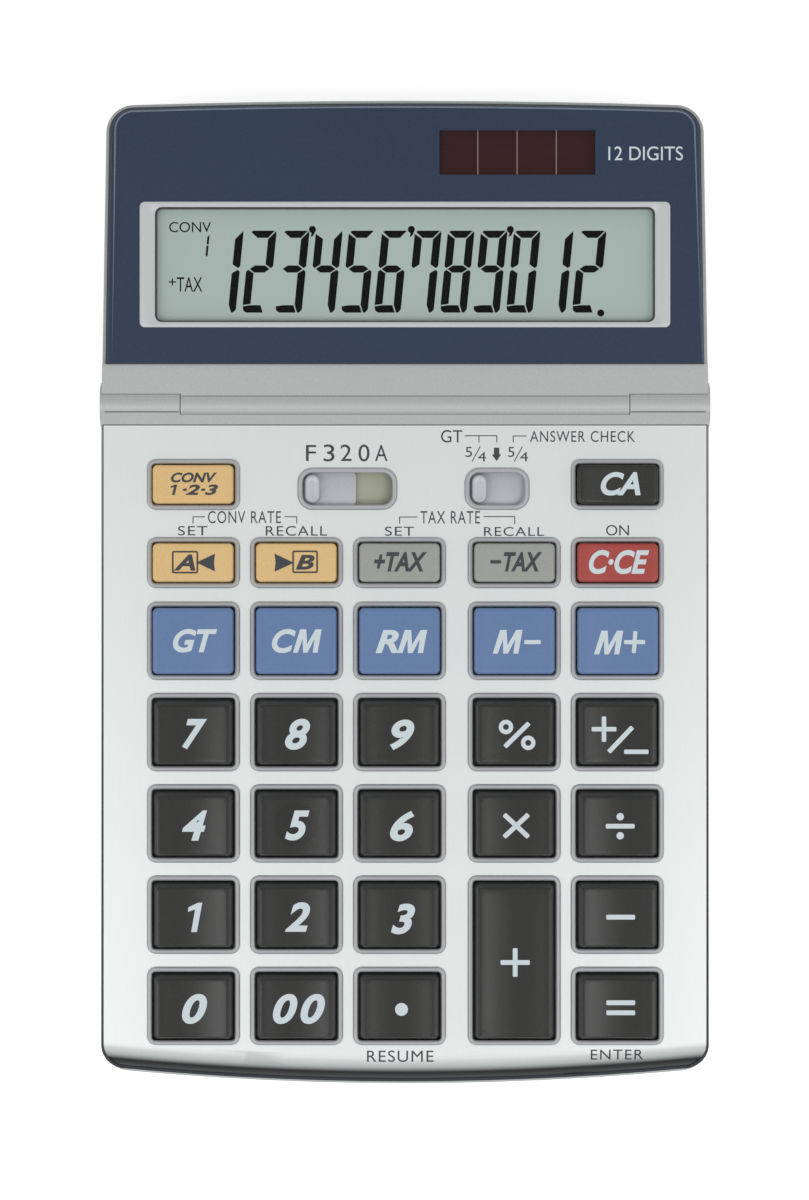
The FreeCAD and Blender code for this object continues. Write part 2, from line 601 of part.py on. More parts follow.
def front_corner(side_inset, front_inset):
    """Where the front arc of a plan outline meets its side."""
    half = f"(Sizes.case_width / 2 - ({side_inset}))"
    arc = f"(Sizes.front_arc - ({front_inset}))"
    return f"(Sizes.front_arc - Sizes.front_reach - sqrt({arc} ^ 2 - {half} ^ 2))"


def base_outline(body, name, height, side_inset="0", front_inset="0", rear="Sizes.hinge_y"):
    """The base in plan: straight sides and rear edge, and a front edge bowed towards the user."""
    sketch = new_sketch(body, name, offset=height)
    half = f"(Sizes.case_width / 2 - ({side_inset}))"
    arc = f"(Sizes.front_arc - ({front_inset}))"
    corner = front_corner(side_inset, front_inset)
    corners = [(f"-{half}", rear), (f"-{half}", corner, arc), (half, corner), (half, rear)]
    closed_profile(sketch, corners)
    return sketch


def front_uprights(edge):
    return upright(edge) and edge.BoundBox.YMin < 0


def plate_form(body, tag, inset):
    """The face plate's outer surface, moved in by an inset: flat on top, rolled over at the front."""
    top = f"(-({inset}))"
    side = f"(Sizes.rim_width + {inset})"
    front = f"(Sizes.front_rim_width + {inset})"
    outline = base_outline(body, f"{tag}_outline", top, side, front, "Sizes.plate_rear")
    pad(body, outline, f"Sizes.parting_depth - {inset}", down=True)
    corner = f"Sizes.case_corner - {side}"
    round_edges(body, f"{tag}_corners", corner, lambda edge: plate_upright(edge, inset))
    roll_front(body, tag, inset)


def plate_upright(edge, inset):
    """The two front corners of the plate's form."""
    box = edge.BoundBox
    on_side = abs(abs(box.Center.x) - (size("Sizes.case_width / 2 - Sizes.rim_width") - size(inset))) < 0.01
    return upright(edge) and on_side and box.Center.y < -size("Sizes.rim_bend_rear")


def roll_front(body, tag, inset):
    """Turns the front edge down with a radius that follows the bowed front."""
    sketch = body.newObject("Sketcher::SketchObject", f"{body.Name}_{tag}_roll")
    sketch.AttachmentSupport = [(origin_item(body, "YZ_Plane"), "")]
    sketch.MapMode = "FlatFace"
    sketch.setExpression("AttachmentOffset.Base.x", "Sizes.front_arc - Sizes.front_reach")
    radius = f"(Sizes.front_curve - {inset})"
    centre_y = "(-Sizes.front_arc + Sizes.front_rim_width + Sizes.front_curve)"
    rim = "Sizes.front_rim_drop"
    reach = f"({centre_y} - sqrt({radius} ^ 2 - (Sizes.front_curve - {rim}) ^ 2))"
    beyond = "(-Sizes.front_arc - 2)"
    corners = [
        (beyond, "1"),
        (beyond, f"-{rim}"),
        (reach, f"-{rim}", radius, "inwards"),
        (centre_y, f"-{inset}"),
        (centre_y, "1"),
    ]
    closed_profile(sketch, corners)
    item = feature("Groove", body, sketch, "groove")
    item.ReferenceAxis = (sketch, ["V_Axis"])
    item.Angle = 16
    item.Midplane = True


def opening_blocks(label, top, bottom, grow, corner_cut=None):
    """A tool with a block at every key and slide switch: grow widens the bezel's outline on each side."""
    tool = tool_body(label)
    tool.AllowCompound = True
    width = f"(Sizes.bezel_width + 2 * ({grow}))"
    for name, kind, column, row, columns, rows in KEY_BLOCKS:
        sketch = new_sketch(tool, name, offset=top)
        depth = f"({BEZEL_DEPTH[kind]} + 2 * ({grow}))"
        if corner_cut:
            clipped(sketch, width, depth, corner_cut, column_x(column), row_y(row))
        else:
            rectangle(sketch, width, depth, column_x(column), row_y(row))
        block = pad(tool, sketch, f"{top} - ({bottom})", down=True)
        if columns > 1 or rows > 1:
            repeat(tool, block, f"{name}_grid", "Sizes.column_pitch", columns, "Sizes.row_pitch", rows)
    slots = new_sketch(tool, "slots", offset=top)
    for name, x, width, steps in SLIDES:
        depth = f"Sizes.slide_bezel_depth + 2 * ({grow})"
        slot_corner = f"Sizes.slide_bezel_corner + ({grow})"
        rectangle(slots, f"{width} + 2 * ({grow})", depth, x, "Sizes.slide_y", slot_corner)
    pad(tool, slots, f"{top} - ({bottom})", down=True)
    return tool


def face_plate():
    """Thin aluminium sheet over the keyboard, its front edge rolled down."""
    core = tool_body("plate_core")
    plate_form(core, "core", "Sizes.plate_thickness")
    body = new_body("face_plate")
    plate_form(body, "skin", "0")
    combine(body, core, "Cut")
    below = new_sketch(body, "below_rim", "YZ_Plane")
    corners = [
        ("Sizes.plate_rear + 1", "-Sizes.rim_drop"),
        ("-Sizes.rim_bend_rear", "-Sizes.rim_drop"),
        ("-Sizes.rim_bend_front", "-Sizes.front_rim_drop"),
        ("-Sizes.front_reach - 2", "-Sizes.front_rim_drop"),
        ("-Sizes.front_reach - 2", "-Sizes.parting_depth - 1"),
        ("Sizes.plate_rear + 1", "-Sizes.parting_depth - 1"),
    ]
    closed_profile(below, corners)
    pocket(body, below, both_ways=True)
    below = "-Sizes.plate_thickness - 1"
    holes = opening_blocks("plate_holes", "1", below, "Sizes.plate_gap", "Sizes.bezel_corner")
    combine(body, holes, "Cut")


def table_z(y, height):
    """Keyboard-frame depth, at a place along y, of the plane a given height above the table."""
    return f"((({height}) - {ROW_Z} - ({y}) * sin(Sizes.slope)) / cos(Sizes.slope))"


def across(body, name, radius, length, cut=False, y="Sizes.hinge_y", z=BARREL_Z):
    """A round bar, or a bore, along x through the middle of the part."""
    sketch = new_sketch(body, name, "YZ_Plane")
    circle(sketch, radius, y, z)
    if cut:
        return pocket(body, sketch, length, both_ways=True)
    return pad(body, sketch, length, both_ways=True)


def box_cut(body, name, width, low, high):
    """Cuts a box of the given width between two corners of the side view."""
    sketch = new_sketch(body, name, "YZ_Plane")
    (y_low, z_low), (y_high, z_high) = low, high
    closed_profile(sketch, [(y_low, z_low), (y_high, z_low), (y_high, z_high), (y_low, z_high)])
    return pocket(body, sketch, width, both_ways=True)


def octagons(body, name, height, radius, spots):
    """A sketch of equal octagons."""
    sketch = new_sketch(body, name, offset=height)
    for x, y in spots:
        octagon(sketch, radius, x, y)
    return sketch


def circles(body, name, height, radius, spots):
    """A sketch of equal circles."""
    sketch = new_sketch(body, name, offset=height)
    for x, y in spots:
        circle(sketch, radius, x, y)
    return sketch


def slide_reach(width):
    """Half the length of a slide switch's raised plate, hidden ends included."""
    return f"({width} / 2 - Sizes.bezel_rim + Sizes.slide_cover)"


DECIMAL_REACH = slide_reach("Sizes.decimal_bezel_width")
ROUNDING_REACH = slide_reach("Sizes.rounding_bezel_width")
SLIDE_LEFT = f"(Sizes.decimal_x - {DECIMAL_REACH} - Sizes.slide_tail - Sizes.slide_gap)"
SLIDE_RIGHT = f"(Sizes.rounding_x + {ROUNDING_REACH} + 2 * Sizes.slide_step + Sizes.slide_gap)"


def base_top():
    """Keyboard frame: rim, deck, bezels, rear strip and the two hinge knuckles."""
    case = tool_body("case_form")
    outline = base_outline(case, "outline", "-Sizes.rim_drop")
    pad(case, outline, "Sizes.parting_depth - Sizes.rim_drop", down=True)
    round_edges(case, "corners", "Sizes.case_corner", front_uprights)
    rim = new_sketch(case, "front_rim", "YZ_Plane")
    rim_corners = [
        ("-Sizes.rim_bend_rear", "0"),
        ("-Sizes.front_reach - 2", "0"),
        ("-Sizes.front_reach - 2", "-Sizes.front_rim_drop"),
        ("-Sizes.rim_bend_front", "-Sizes.front_rim_drop"),
        ("-Sizes.rim_bend_rear", "-Sizes.rim_drop"),
    ]
    closed_profile(rim, rim_corners)
    pocket(case, rim, both_ways=True)
    body = new_body("base_top")
    plate_form(body, "deck", "Sizes.plate_thickness")
    combine(body, case, "Fuse")
    strip_front = "(Sizes.plate_rear + Sizes.plate_gap)"
    strip = new_sketch(body, "strip")
    strip_depth = f"Sizes.hinge_y - {strip_front}"
    rectangle(strip, "Sizes.case_width", strip_depth, "0", f"(Sizes.hinge_y + {strip_front}) / 2")
    pad(body, strip, "Sizes.parting_depth", down=True)
    walls = ("Sizes.case_wall", "Sizes.front_wall", ROOM_REAR)
    room = base_outline(body, "room", "-Sizes.parting_depth", *walls)
    pocket(body, room, f"Sizes.parting_depth + {DECK_BOTTOM}", up=True)
    knuckles(body)
    slide_guides(body)
    columns = octagons(body, "posts", DECK_BOTTOM, "Sizes.post_radius", CASE_POSTS)
    pad(body, columns, f"{DECK_BOTTOM} - {BOARD_TOP}", down=True)
    pilots = octagons(body, "pilots", BOARD_TOP, PILOT, CASE_POSTS)
    grip = "Sizes.screw_length - Sizes.screw_seat - Sizes.board_thickness"
    pocket(body, pilots, f"{grip} + Sizes.screw_tip", up=True)
    in_deck = "-Sizes.plate_thickness - Sizes.deck_thickness / 2"
    bezels = opening_blocks("bezel_blocks", "Sizes.bezel_rise", in_deck, "0", "Sizes.bezel_corner")
    combine(body, bezels, "Fuse")
    above, below = "(Sizes.bezel_rise + 1)", f"{DECK_BOTTOM} - 1"
    combine(body, opening_blocks("apertures", above, below, "-Sizes.bezel_rim"), "Cut")


def knuckles(body):
    """Clears the display's barrel, then adds a knuckle with its pin bore on each side of it."""
    opening = f"2 * ({BARREL_HALF} + Sizes.barrel_gap)"
    across(body, "barrel_room", "Sizes.barrel_radius + Sizes.barrel_gap", opening, cut=True)
    knuckle = new_sketch(body, "knuckle", "YZ_Plane", f"{BARREL_HALF} + Sizes.barrel_gap")
    circle(knuckle, "Sizes.barrel_radius", "Sizes.hinge_y", BARREL_Z)
    bar = pad(body, knuckle, f"{KNUCKLE_END} - {BARREL_HALF} - Sizes.barrel_gap")
    mirror(body, [bar], "knuckles")
    bores = f"2 * ({BARREL_HALF} + Sizes.barrel_gap / 2 + Sizes.pin_length / 2 + Sizes.screw_tip)"
    across(body, "pin_bores", "Sizes.pin_radius + Sizes.running_gap", bores, cut=True)
    slot = "Sizes.ribbon_width + 1"
    rear = "Sizes.hinge_y - Sizes.barrel_radius / 2"
    low, high = f"{BARREL_Z} - Sizes.ribbon_room", f"{BARREL_Z} + Sizes.ribbon_room"
    box_cut(body, "ribbon_slot", slot, (f"{ROOM_REAR} - 0.5", low), (rear, high))


def slide_guides(body):
    """Thins the deck over each slide switch and adds a rib on both sides of their lower plates."""
    for name, x, width, steps in SLIDES:
        travel = f"({steps} * Sizes.slide_step)"
        length = f"(2 * ({slide_reach(width)} + Sizes.slide_gap) + {travel})"
        room = new_sketch(body, f"{name}_room", offset=DECK_BOTTOM)
        depth = "Sizes.slide_depth + 2 * Sizes.slide_gap"
        rectangle(room, length, depth, f"({x} + {travel} / 2)", "Sizes.slide_y")
        pocket(body, room, "Sizes.deck_thickness - Sizes.slide_deck", up=True)
    ribs = new_sketch(body, "slide_ribs", offset=DECK_BOTTOM)
    length, middle = f"({SLIDE_RIGHT} - {SLIDE_LEFT})", f"({SLIDE_RIGHT} + {SLIDE_LEFT}) / 2"
    for side in ("", "-"):
        off = f"{side}(Sizes.slide_depth / 2 + Sizes.slide_gap + Sizes.guide_wall / 2)"
        rectangle(ribs, length, "Sizes.guide_wall", middle, f"Sizes.slide_y + {off}")
    pad(body, ribs, "Sizes.guide_height", down=True)


def tub_form(body, tag, inset, floor, rear):
    """The lower shell's outer surface, moved in by an inset and up by a floor."""
    outline = base_outline(body, f"{tag}_outline", "-Sizes.parting_depth", inset, inset, rear)
    pad(body, outline, "2 * Sizes.front_height", down=True)
    if tag == "shell":
        round_edges(body, f"{tag}_corners", "Sizes.case_corner", front_uprights)
    below = new_sketch(body, f"{tag}_below", "YZ_Plane")
    height = f"(Sizes.foot_height + {floor})"
    front, foot = "(-Sizes.front_reach - 5)", f"({rear} - Sizes.rear_slant)"
    shoulder = f"({BARREL_Z} - Sizes.barrel_radius - Sizes.barrel_gap)"
    corners = [
        (front, table_z(front, height)),
        (front, "-4 * Sizes.front_height"),
        (f"{rear} + 5", "-4 * Sizes.front_height"),
        (f"{rear} + 5", shoulder),
        (rear, shoulder),
        (foot, table_z(foot, height)),
    ]
    closed_profile(below, corners)
    pocket(body, below, both_ways=True)


def along_the_table(edge):
    """The outer edge of the underside."""
    box = edge.BoundBox
    y, z = edge.CenterOfMass.y, edge.CenterOfMass.z
    on_floor = abs(z - size(table_z(str(y), "Sizes.foot_height"))) < 0.05
    return on_floor and (box.XLength > 3 or box.YLength > 3)


def base_bottom():
    """Lower shell: tub with screw posts, battery compartment and seats for the feet."""
    core = tool_body("bottom_core")
    tub_form(core, "core", "Sizes.case_wall", "Sizes.floor_thickness", "(Sizes.hinge_y - Sizes.case_wall)")
    under_barrel = f"({BARREL_Z} - Sizes.barrel_radius - Sizes.barrel_gap - Sizes.case_wall)"
    low, high = (ROOM_REAR, under_barrel), ("Sizes.hinge_y", "1")
    box_cut(core, "barrel_wall", "2 * Sizes.case_width", low, high)
    body = new_body("base_bottom")
    tub_form(body, "shell", "0", "0", "Sizes.hinge_y")
    bevel_edges(body, "lower_edge", "Sizes.bottom_bevel", along_the_table)
    combine(body, core, "Cut")
    across(body, "barrel_room", "Sizes.barrel_radius + Sizes.barrel_gap", "2 * Sizes.case_width", cut=True)
    for tag, spots in (("front", FRONT_POSTS), ("rear", REAR_POSTS)):
        y = spots[0][1]
        columns = octagons(body, f"{tag}_posts", BOARD_BOTTOM, "Sizes.post_radius", spots)
        middle_of_floor = table_z(y, "Sizes.foot_height + Sizes.floor_thickness / 2")
        pad(body, columns, f"{BOARD_BOTTOM} - {middle_of_floor}", down=True)
    pocket(body, circles(body, "head_rooms", CASE_SCREW_SEAT, HEAD_ROOM, CASE_POSTS))
    shanks = octagons(body, "shank_holes", BOARD_BOTTOM, SHANK_ROOM, CASE_POSTS)
    pocket(body, shanks, "Sizes.screw_seat + 1")
    seats = floor_sketch(body, "foot_seats", "Sizes.foot_height")
    for x, y in FEET:
        circle(seats, "Sizes.foot_radius + Sizes.running_gap", x, y)
    pocket(body, seats, "Sizes.foot_recess", up=True)
    battery_bay(body)


def battery_bay(body):
    """A roofed compartment over an opening in the floor, with a seat for its cover."""
    block = floor_sketch(body, "bay_block", "Sizes.foot_height + Sizes.floor_thickness / 2")
    wide, deep = f"{LID_WIDTH} + 2 * Sizes.bay_wall", f"{LID_DEPTH} + 2 * Sizes.bay_wall"
    rectangle(block, wide, deep, LID_X, "Sizes.battery_y")
    pad(body, block, f"{BAY_HEIGHT} + Sizes.floor_thickness / 2 + Sizes.bay_wall")
    lid = floor_sketch(body, "lid_seat", "Sizes.foot_height")
    wide, deep = f"{LID_WIDTH} + 2 * Sizes.lid_gap", f"{LID_DEPTH} + 2 * Sizes.lid_gap"
    rectangle(lid, wide, deep, LID_X, "Sizes.battery_y", "Sizes.lid_corner + Sizes.lid_gap")
    pocket(body, lid, "Sizes.floor_thickness", up=True)
    room = floor_sketch(body, "bay_room", "Sizes.foot_height + Sizes.floor_thickness")
    rectangle(room, BAY, BAY, "Sizes.battery_x", "Sizes.battery_y")
    pocket(body, room, BAY_HEIGHT, up=True)
    pilot = floor_sketch(body, "lid_pilot", "Sizes.foot_height + Sizes.floor_thickness")
    octagon(pilot, PILOT, LID_SCREW_X, "Sizes.battery_y")
    pocket(body, pilot, "Sizes.short_screw_length - Sizes.lid_seat + Sizes.screw_tip", up=True)


def strip_of(line, thickness):
    """The outline of a bent strip: a line seen from the side and the same line moved up."""
    return line + [(along, f"{height} + {thickness}") for along, height in reversed(line)]


def stand(item, x="0", y="0", z="0"):
    """Places an object level with the table, at a height above it."""
    item.setExpression("Placement.Base.x", x)
    item.setExpression("Placement.Base.y", f"{ROW_Y} + ({y})")
    item.setExpression("Placement.Base.z", z)


def level_body(label, x="0", y="0", z="0"):
    """A body of the part that lies parallel to the table."""
    body = doc.addObject("PartDesign::Body", label)
    body.Label = label
    stand(body, x, y, z)
    parts.append(body)
    return body


def battery_parts():
    lid = level_body("battery_cover", LID_X, "Sizes.battery_y", "Sizes.foot_height")
    outline = new_sketch(lid, "outline")
    rectangle(outline, LID_WIDTH, LID_DEPTH, corner="Sizes.lid_corner")
    pad(lid, outline, "Sizes.floor_thickness - Sizes.running_gap")
    spot = [(f"{LID_SCREW_X} - {LID_X}", "0")]
    head = circles(lid, "head_room", "0", HEAD_ROOM, spot)
    pocket(lid, head, "Sizes.floor_thickness - Sizes.lid_seat", up=True)
    pocket(lid, octagons(lid, "shank_hole", "0", SHANK_ROOM, spot), up=True)

    cell_z = "Sizes.foot_height + Sizes.floor_thickness + Sizes.running_gap"
    cell = level_body("coin_cell", "Sizes.battery_x", "Sizes.battery_y", cell_z)
    can = circles(cell, "can", "0", "Sizes.cell_radius", [("0", "0")])
    pad(cell, can, "Sizes.cell_height")

    contact_z = f"{cell_z} + Sizes.cell_height"
    contacts = level_body("battery_contacts", "Sizes.battery_x", "Sizes.battery_y", contact_z)
    contacts.AllowCompound = True
    top, bottom = "Sizes.contact_room", "Sizes.running_gap"
    line = [
        ("-Sizes.cell_radius * 0.8", f"{top} - Sizes.contact_sheet"),
        ("0", f"{top} - Sizes.contact_sheet"),
        ("Sizes.cell_radius * 0.4", bottom),
        ("Sizes.cell_radius * 0.6", bottom),
    ]
    for name, x in (("left", "-Sizes.cell_radius / 2"), ("right", "Sizes.cell_radius / 2")):
        leaf = new_sketch(contacts, f"{name}_leaf", "YZ_Plane", x)
        closed_profile(leaf, strip_of(line, "Sizes.contact_sheet"))
        pad(contacts, leaf, "Sizes.contact_width", both_ways=True)


def keyboard():
    board = new_body("keyboard_board")
    outline = new_sketch(board, "outline", offset=BOARD_TOP)
    depth = "(Sizes.board_front + Sizes.board_rear)"
    rectangle(outline, BOARD_WIDTH, depth, "0", "(Sizes.board_rear - Sizes.board_front) / 2")
    pad(board, outline, "Sizes.board_thickness", down=True)
    pocket(board, octagons(board, "screw_holes", BOARD_TOP, SHANK_ROOM, CASE_POSTS))

    mat = new_body("rubber_keymat")
    sheet_outline = new_sketch(mat, "outline", offset="-Sizes.mat_top")
    width = f"2 * ({POST_X} - Sizes.post_radius - Sizes.head_clearance)"
    depth = "(Sizes.mat_front + Sizes.mat_rear)"
    rectangle(sheet_outline, width, depth, "0", "(Sizes.mat_rear - Sizes.mat_front) / 2")
    pad(mat, sheet_outline, "Sizes.mat_thickness", down=True)
    for name, kind, column, row, columns, rows in KEY_BLOCKS:
        dome = new_sketch(mat, f"dome_{name}", offset="-Sizes.mat_top")
        rectangle(dome, "Sizes.dome_width", "Sizes.dome_width", column_x(column), row_y(row))
        item = pad(mat, dome, f"Sizes.mat_top + {KEY_BOTTOM} - Sizes.rest_gap")
        if columns > 1 or rows > 1:
            repeat(mat, item, f"dome_{name}_grid", "Sizes.column_pitch", columns, "Sizes.row_pitch", rows)
    window = new_sketch(mat, "slide_window", offset="-Sizes.mat_top")
    left, right = f"({SLIDE_LEFT} - Sizes.head_clearance)", f"({SLIDE_RIGHT} + Sizes.head_clearance)"
    rib = "(Sizes.slide_depth / 2 + Sizes.slide_gap + Sizes.guide_wall)"
    front, rear = f"(Sizes.slide_y - {rib} - Sizes.head_clearance)", "(Sizes.mat_rear + 1)"
    closed_profile(window, [(left, front), (right, front), (right, rear), (left, rear)])
    pocket(mat, window)

    chip = new_body("controller_chip", x="Sizes.chip_x", y="Sizes.chip_y", z=BOARD_BOTTOM)
    square = new_sketch(chip, "square")
    rectangle(square, "Sizes.chip_size", "Sizes.chip_size")
    pad(chip, square, "Sizes.chip_height", down=True)


def keycap(label, kind, finish, column, row):
    """A keycap with its retaining flange, upright skirt, sloping sides and a dish on top."""
    body = new_body(label, x=column_x(column), y=row_y(row))
    margin = "Sizes.bezel_rim - Sizes.key_clearance"
    half_x, half_y = f"(Sizes.bezel_width / 2 - {margin})", f"({BEZEL_DEPTH[kind]} / 2 - {margin})"
    side, rear, front = "Sizes.colour_key_slope", "Sizes.colour_key_slope", "Sizes.colour_key_slope"
    if finish == "black":
        side, rear, front = "Sizes.key_side_slope", "Sizes.key_rear_slope", "Sizes.key_front_slope"
    lip = "Sizes.key_clearance + Sizes.flange_width"
    flange_x, flange_y = f"({half_x} + {lip})", f"({half_y} + {lip})"
    profile = new_sketch(body, "side_view", "YZ_Plane")
    corners = [
        (f"-{flange_y}", KEY_BOTTOM),
        (flange_y, KEY_BOTTOM),
        (flange_y, FLANGE_TOP),
        (half_y, FLANGE_TOP),
        (half_y, "Sizes.key_shoulder"),
        (f"{half_y} - {rear}", "Sizes.key_rise"),
        (f"{front} - {half_y}", "Sizes.key_rise"),
        (f"-{half_y}", "Sizes.key_shoulder"),
        (f"-{half_y}", FLANGE_TOP),
        (f"-{flange_y}", FLANGE_TOP),
    ]
    closed_profile(profile, corners)
    pad(body, profile, f"2 * {flange_x}", both_ways=True)
    around = new_sketch(body, "front_view", "XZ_Plane")
    corners = [
        (f"{flange_x} + 1", FLANGE_TOP),
        (f"{flange_x} + 1", "Sizes.key_rise + 1"),
        (f"-{flange_x} - 1", "Sizes.key_rise + 1"),
        (f"-{flange_x} - 1", FLANGE_TOP),
        (f"-{half_x}", FLANGE_TOP),
        (f"-{half_x}", "Sizes.key_shoulder"),
        (f"{side} - {half_x}", "Sizes.key_rise", "Sizes.key_dish"),
        (f"{half_x} - {side}", "Sizes.key_rise"),
        (half_x, "Sizes.key_shoulder"),
        (half_x, FLANGE_TOP),
    ]
    closed_profile(around, corners)
    pocket(body, around, f"2 * {flange_y} + 2", both_ways=True)


def slide_switch(name, x, width, steps):
    """A slide switch: raised plate with its grip, lower plate, legs down to the board, and wiper."""
    body = new_body(f"{name}_slider", x=x, y="Sizes.slide_y")
    reach = slide_reach(width)
    top = "(-Sizes.plate_thickness - Sizes.slide_deck - Sizes.slide_gap)"
    floor = f"({top} - Sizes.slide_height)"
    underside = f"({floor} - Sizes.slide_floor)"
    left, plate_right = f"(-{reach})", reach
    if name == "decimal":
        left = f"(-{reach} - Sizes.slide_tail)"
        plate_right = f"(Sizes.slide_plate + Sizes.slide_cover - {reach})"
    lower = new_sketch(body, "lower_plate", offset=floor)
    rectangle(lower, f"{reach} - {left}", "Sizes.slide_depth", f"({reach} + {left}) / 2")
    pad(body, lower, "Sizes.slide_floor", down=True)
    plate = new_sketch(body, "plate", offset=floor)
    rectangle(plate, f"{plate_right} + {reach}", "Sizes.slide_depth", f"({plate_right} - {reach}) / 2")
    pad(body, plate, "Sizes.slide_height")
    grip = new_sketch(body, "grip", offset=top)
    grip_x = f"Sizes.grip_width / 2 + Sizes.grip_inset + Sizes.slide_cover - {reach}"
    rectangle(grip, "Sizes.grip_width", "Sizes.grip_depth", grip_x, "0", "Sizes.grip_width * 0.45")
    pad(body, grip, f"Sizes.grip_rise - {top}")
    legs = new_sketch(body, "legs", offset=underside)
    for leg_x in (f"{left} + Sizes.leg_width / 2", f"{reach} - Sizes.leg_width / 2"):
        rectangle(legs, "Sizes.leg_width", "Sizes.slide_depth", leg_x)
    pad(body, legs, f"{underside} - {BOARD_TOP} - Sizes.slide_gap", down=True)

    wiper = new_body(f"{name}_wiper", x=x, y="Sizes.slide_y", z=underside)
    leaf = new_sketch(wiper, "leaf", "XZ_Plane")
    drop = f"({underside} - {BOARD_TOP} - Sizes.running_gap)"
    line = [
        ("-Sizes.wiper_reach", "-Sizes.contact_sheet"),
        ("0", "-Sizes.contact_sheet"),
        ("Sizes.wiper_reach / 2", f"-{drop}"),
        ("Sizes.wiper_reach", f"-{drop}"),
    ]
    closed_profile(leaf, strip_of(line, "Sizes.contact_sheet"))
    pad(wiper, leaf, "Sizes.contact_width / 2", both_ways=True)


def screws(label, length, height, spots):
    """Screws of one length as separate solids, from the seat under their heads."""
    body = new_body(label)
    body.AllowCompound = True
    heads = circles(body, "heads", height, "Sizes.screw_head", spots)
    pad(body, heads, "Sizes.screw_head_height", down=True)
    shanks = octagons(body, "shanks", height, "Sizes.screw_radius", spots)
    pad(body, shanks, length)


def cover_screw():
    """The battery cover's short screw, square to the table."""
    body = new_body("short_screws")
    seat_height = "Sizes.foot_height + Sizes.floor_thickness - Sizes.lid_seat"
    head = floor_sketch(body, "head", seat_height)
    circle(head, "Sizes.screw_head", LID_SCREW_X, "Sizes.battery_y")
    pad(body, head, "Sizes.screw_head_height", down=True)
    shank = floor_sketch(body, "shank", seat_height)
    octagon(shank, "Sizes.screw_radius", LID_SCREW_X, "Sizes.battery_y")
    pad(body, shank, "Sizes.short_screw_length")


def feet():
    body = level_body("rubber_feet")
    body.AllowCompound = True
    outline = circles(body, "outline", "0", "Sizes.foot_radius", FEET)
    pad(body, outline, "Sizes.foot_height + Sizes.foot_recess")


def display_outline(body, name, height, inset="0", start="Sizes.hinge_y"):
    """The display in plan: sides that run in towards a slightly bowed rear edge."""
    sketch = new_sketch(body, name, offset=height)
    slant = "(Sizes.display_taper / (Sizes.display_reach - Sizes.hinge_y))"
    near = f"({DISPLAY_WIDTH} / 2 - ({inset}) - {slant} * ({start} - Sizes.hinge_y))"
    far = f"({DISPLAY_WIDTH} / 2 - ({inset}) - Sizes.display_taper)"
    arc = f"(Sizes.display_arc - ({inset}))"
    corner = f"(Sizes.display_reach - Sizes.display_arc + sqrt({arc} ^ 2 - {far} ^ 2))"
    corners = [(f"-{near}", start), (near, start), (far, corner, arc), (f"-{far}", corner)]
    closed_profile(sketch, corners)
    return sketch


def rear_uprights(edge):
    return upright(edge) and edge.BoundBox.YMin > size("Sizes.window_y")


def display_front():
    """Display housing: hinge barrel, front strip, seat for the panel and window ledge."""
    body = new_body("display_front")
    outline = display_outline(body, "outline", "-Sizes.panel_drop")
    pad(body, outline, "Sizes.display_parting - Sizes.panel_drop", down=True)
    round_edges(body, "corners", "Sizes.display_corner", rear_uprights)
    strip = new_sketch(body, "strip")
    slant = "(Sizes.display_taper / (Sizes.display_reach - Sizes.hinge_y))"
    near = f"({DISPLAY_WIDTH} / 2)"
    far = f"({near} - {slant} * (Sizes.panel_front - Sizes.hinge_y))"
    start, end = "Sizes.hinge_y", "Sizes.panel_front"
    closed_profile(strip, [(f"-{near}", start), (near, start), (far, end), (f"-{far}", end)])
    pad(body, strip, "Sizes.panel_drop", down=True)
    gap = "Sizes.barrel_radius + Sizes.barrel_gap"
    clearance = new_sketch(body, "knuckle_room", "YZ_Plane", f"{BARREL_HALF}")
    circle(clearance, gap, "Sizes.hinge_y", BARREL_Z)
    room = pocket(body, clearance, "Sizes.case_width", up=True)
    mirror(body, [room], "knuckle_rooms")
    across(body, "barrel", "Sizes.barrel_radius", f"2 * {BARREL_HALF}")
    room = display_outline(body, "room", "-Sizes.display_parting", "Sizes.display_wall", DISPLAY_ROOM)
    pocket(body, room, "Sizes.display_parting - Sizes.panel_drop - Sizes.display_deck", up=True)
    display_openings(body)
    bore = new_sketch(body, "sleeve_bore", "YZ_Plane", f"{BARREL_HALF}")
    circle(bore, SLEEVE_BORE, "Sizes.hinge_y", BARREL_Z)
    bore_cut = pocket(body, bore, "Sizes.pin_length / 2 + Sizes.screw_tip")
    mirror(body, [bore_cut], "sleeve_bores")
    across(body, "ribbon_bore", "Sizes.ribbon_bore", "Sizes.ribbon_width + 1", cut=True)
    slot = "Sizes.ribbon_width + 1"
    low, high = f"{BARREL_Z} - Sizes.ribbon_room", f"{BARREL_Z} + Sizes.ribbon_room"
    box_cut(body, "ribbon_exit", slot, ("Sizes.hinge_y", low), (f"{DISPLAY_ROOM} + 0.5", high))
    lifted = f"{BARREL_Z} + Sizes.barrel_radius * sin(Sizes.ribbon_sweep)"
    front = "Sizes.hinge_y - Sizes.barrel_radius - 1"
    box_cut(body, "ribbon_entry", slot, (front, low), ("Sizes.hinge_y", lifted))
    bosses = octagons(body, "bosses", DISPLAY_BOARD_TOP, "Sizes.boss_radius", DISPLAY_POSTS)
    pad(body, bosses, f"{DISPLAY_DECK} - {DISPLAY_BOARD_TOP}")
    pilots = octagons(body, "pilots", DISPLAY_BOARD_TOP, PILOT, DISPLAY_POSTS)
    grip = "Sizes.short_screw_length - Sizes.display_screw_seat - Sizes.display_board_thickness"
    pocket(body, pilots, f"{grip} + Sizes.screw_tip", up=True)


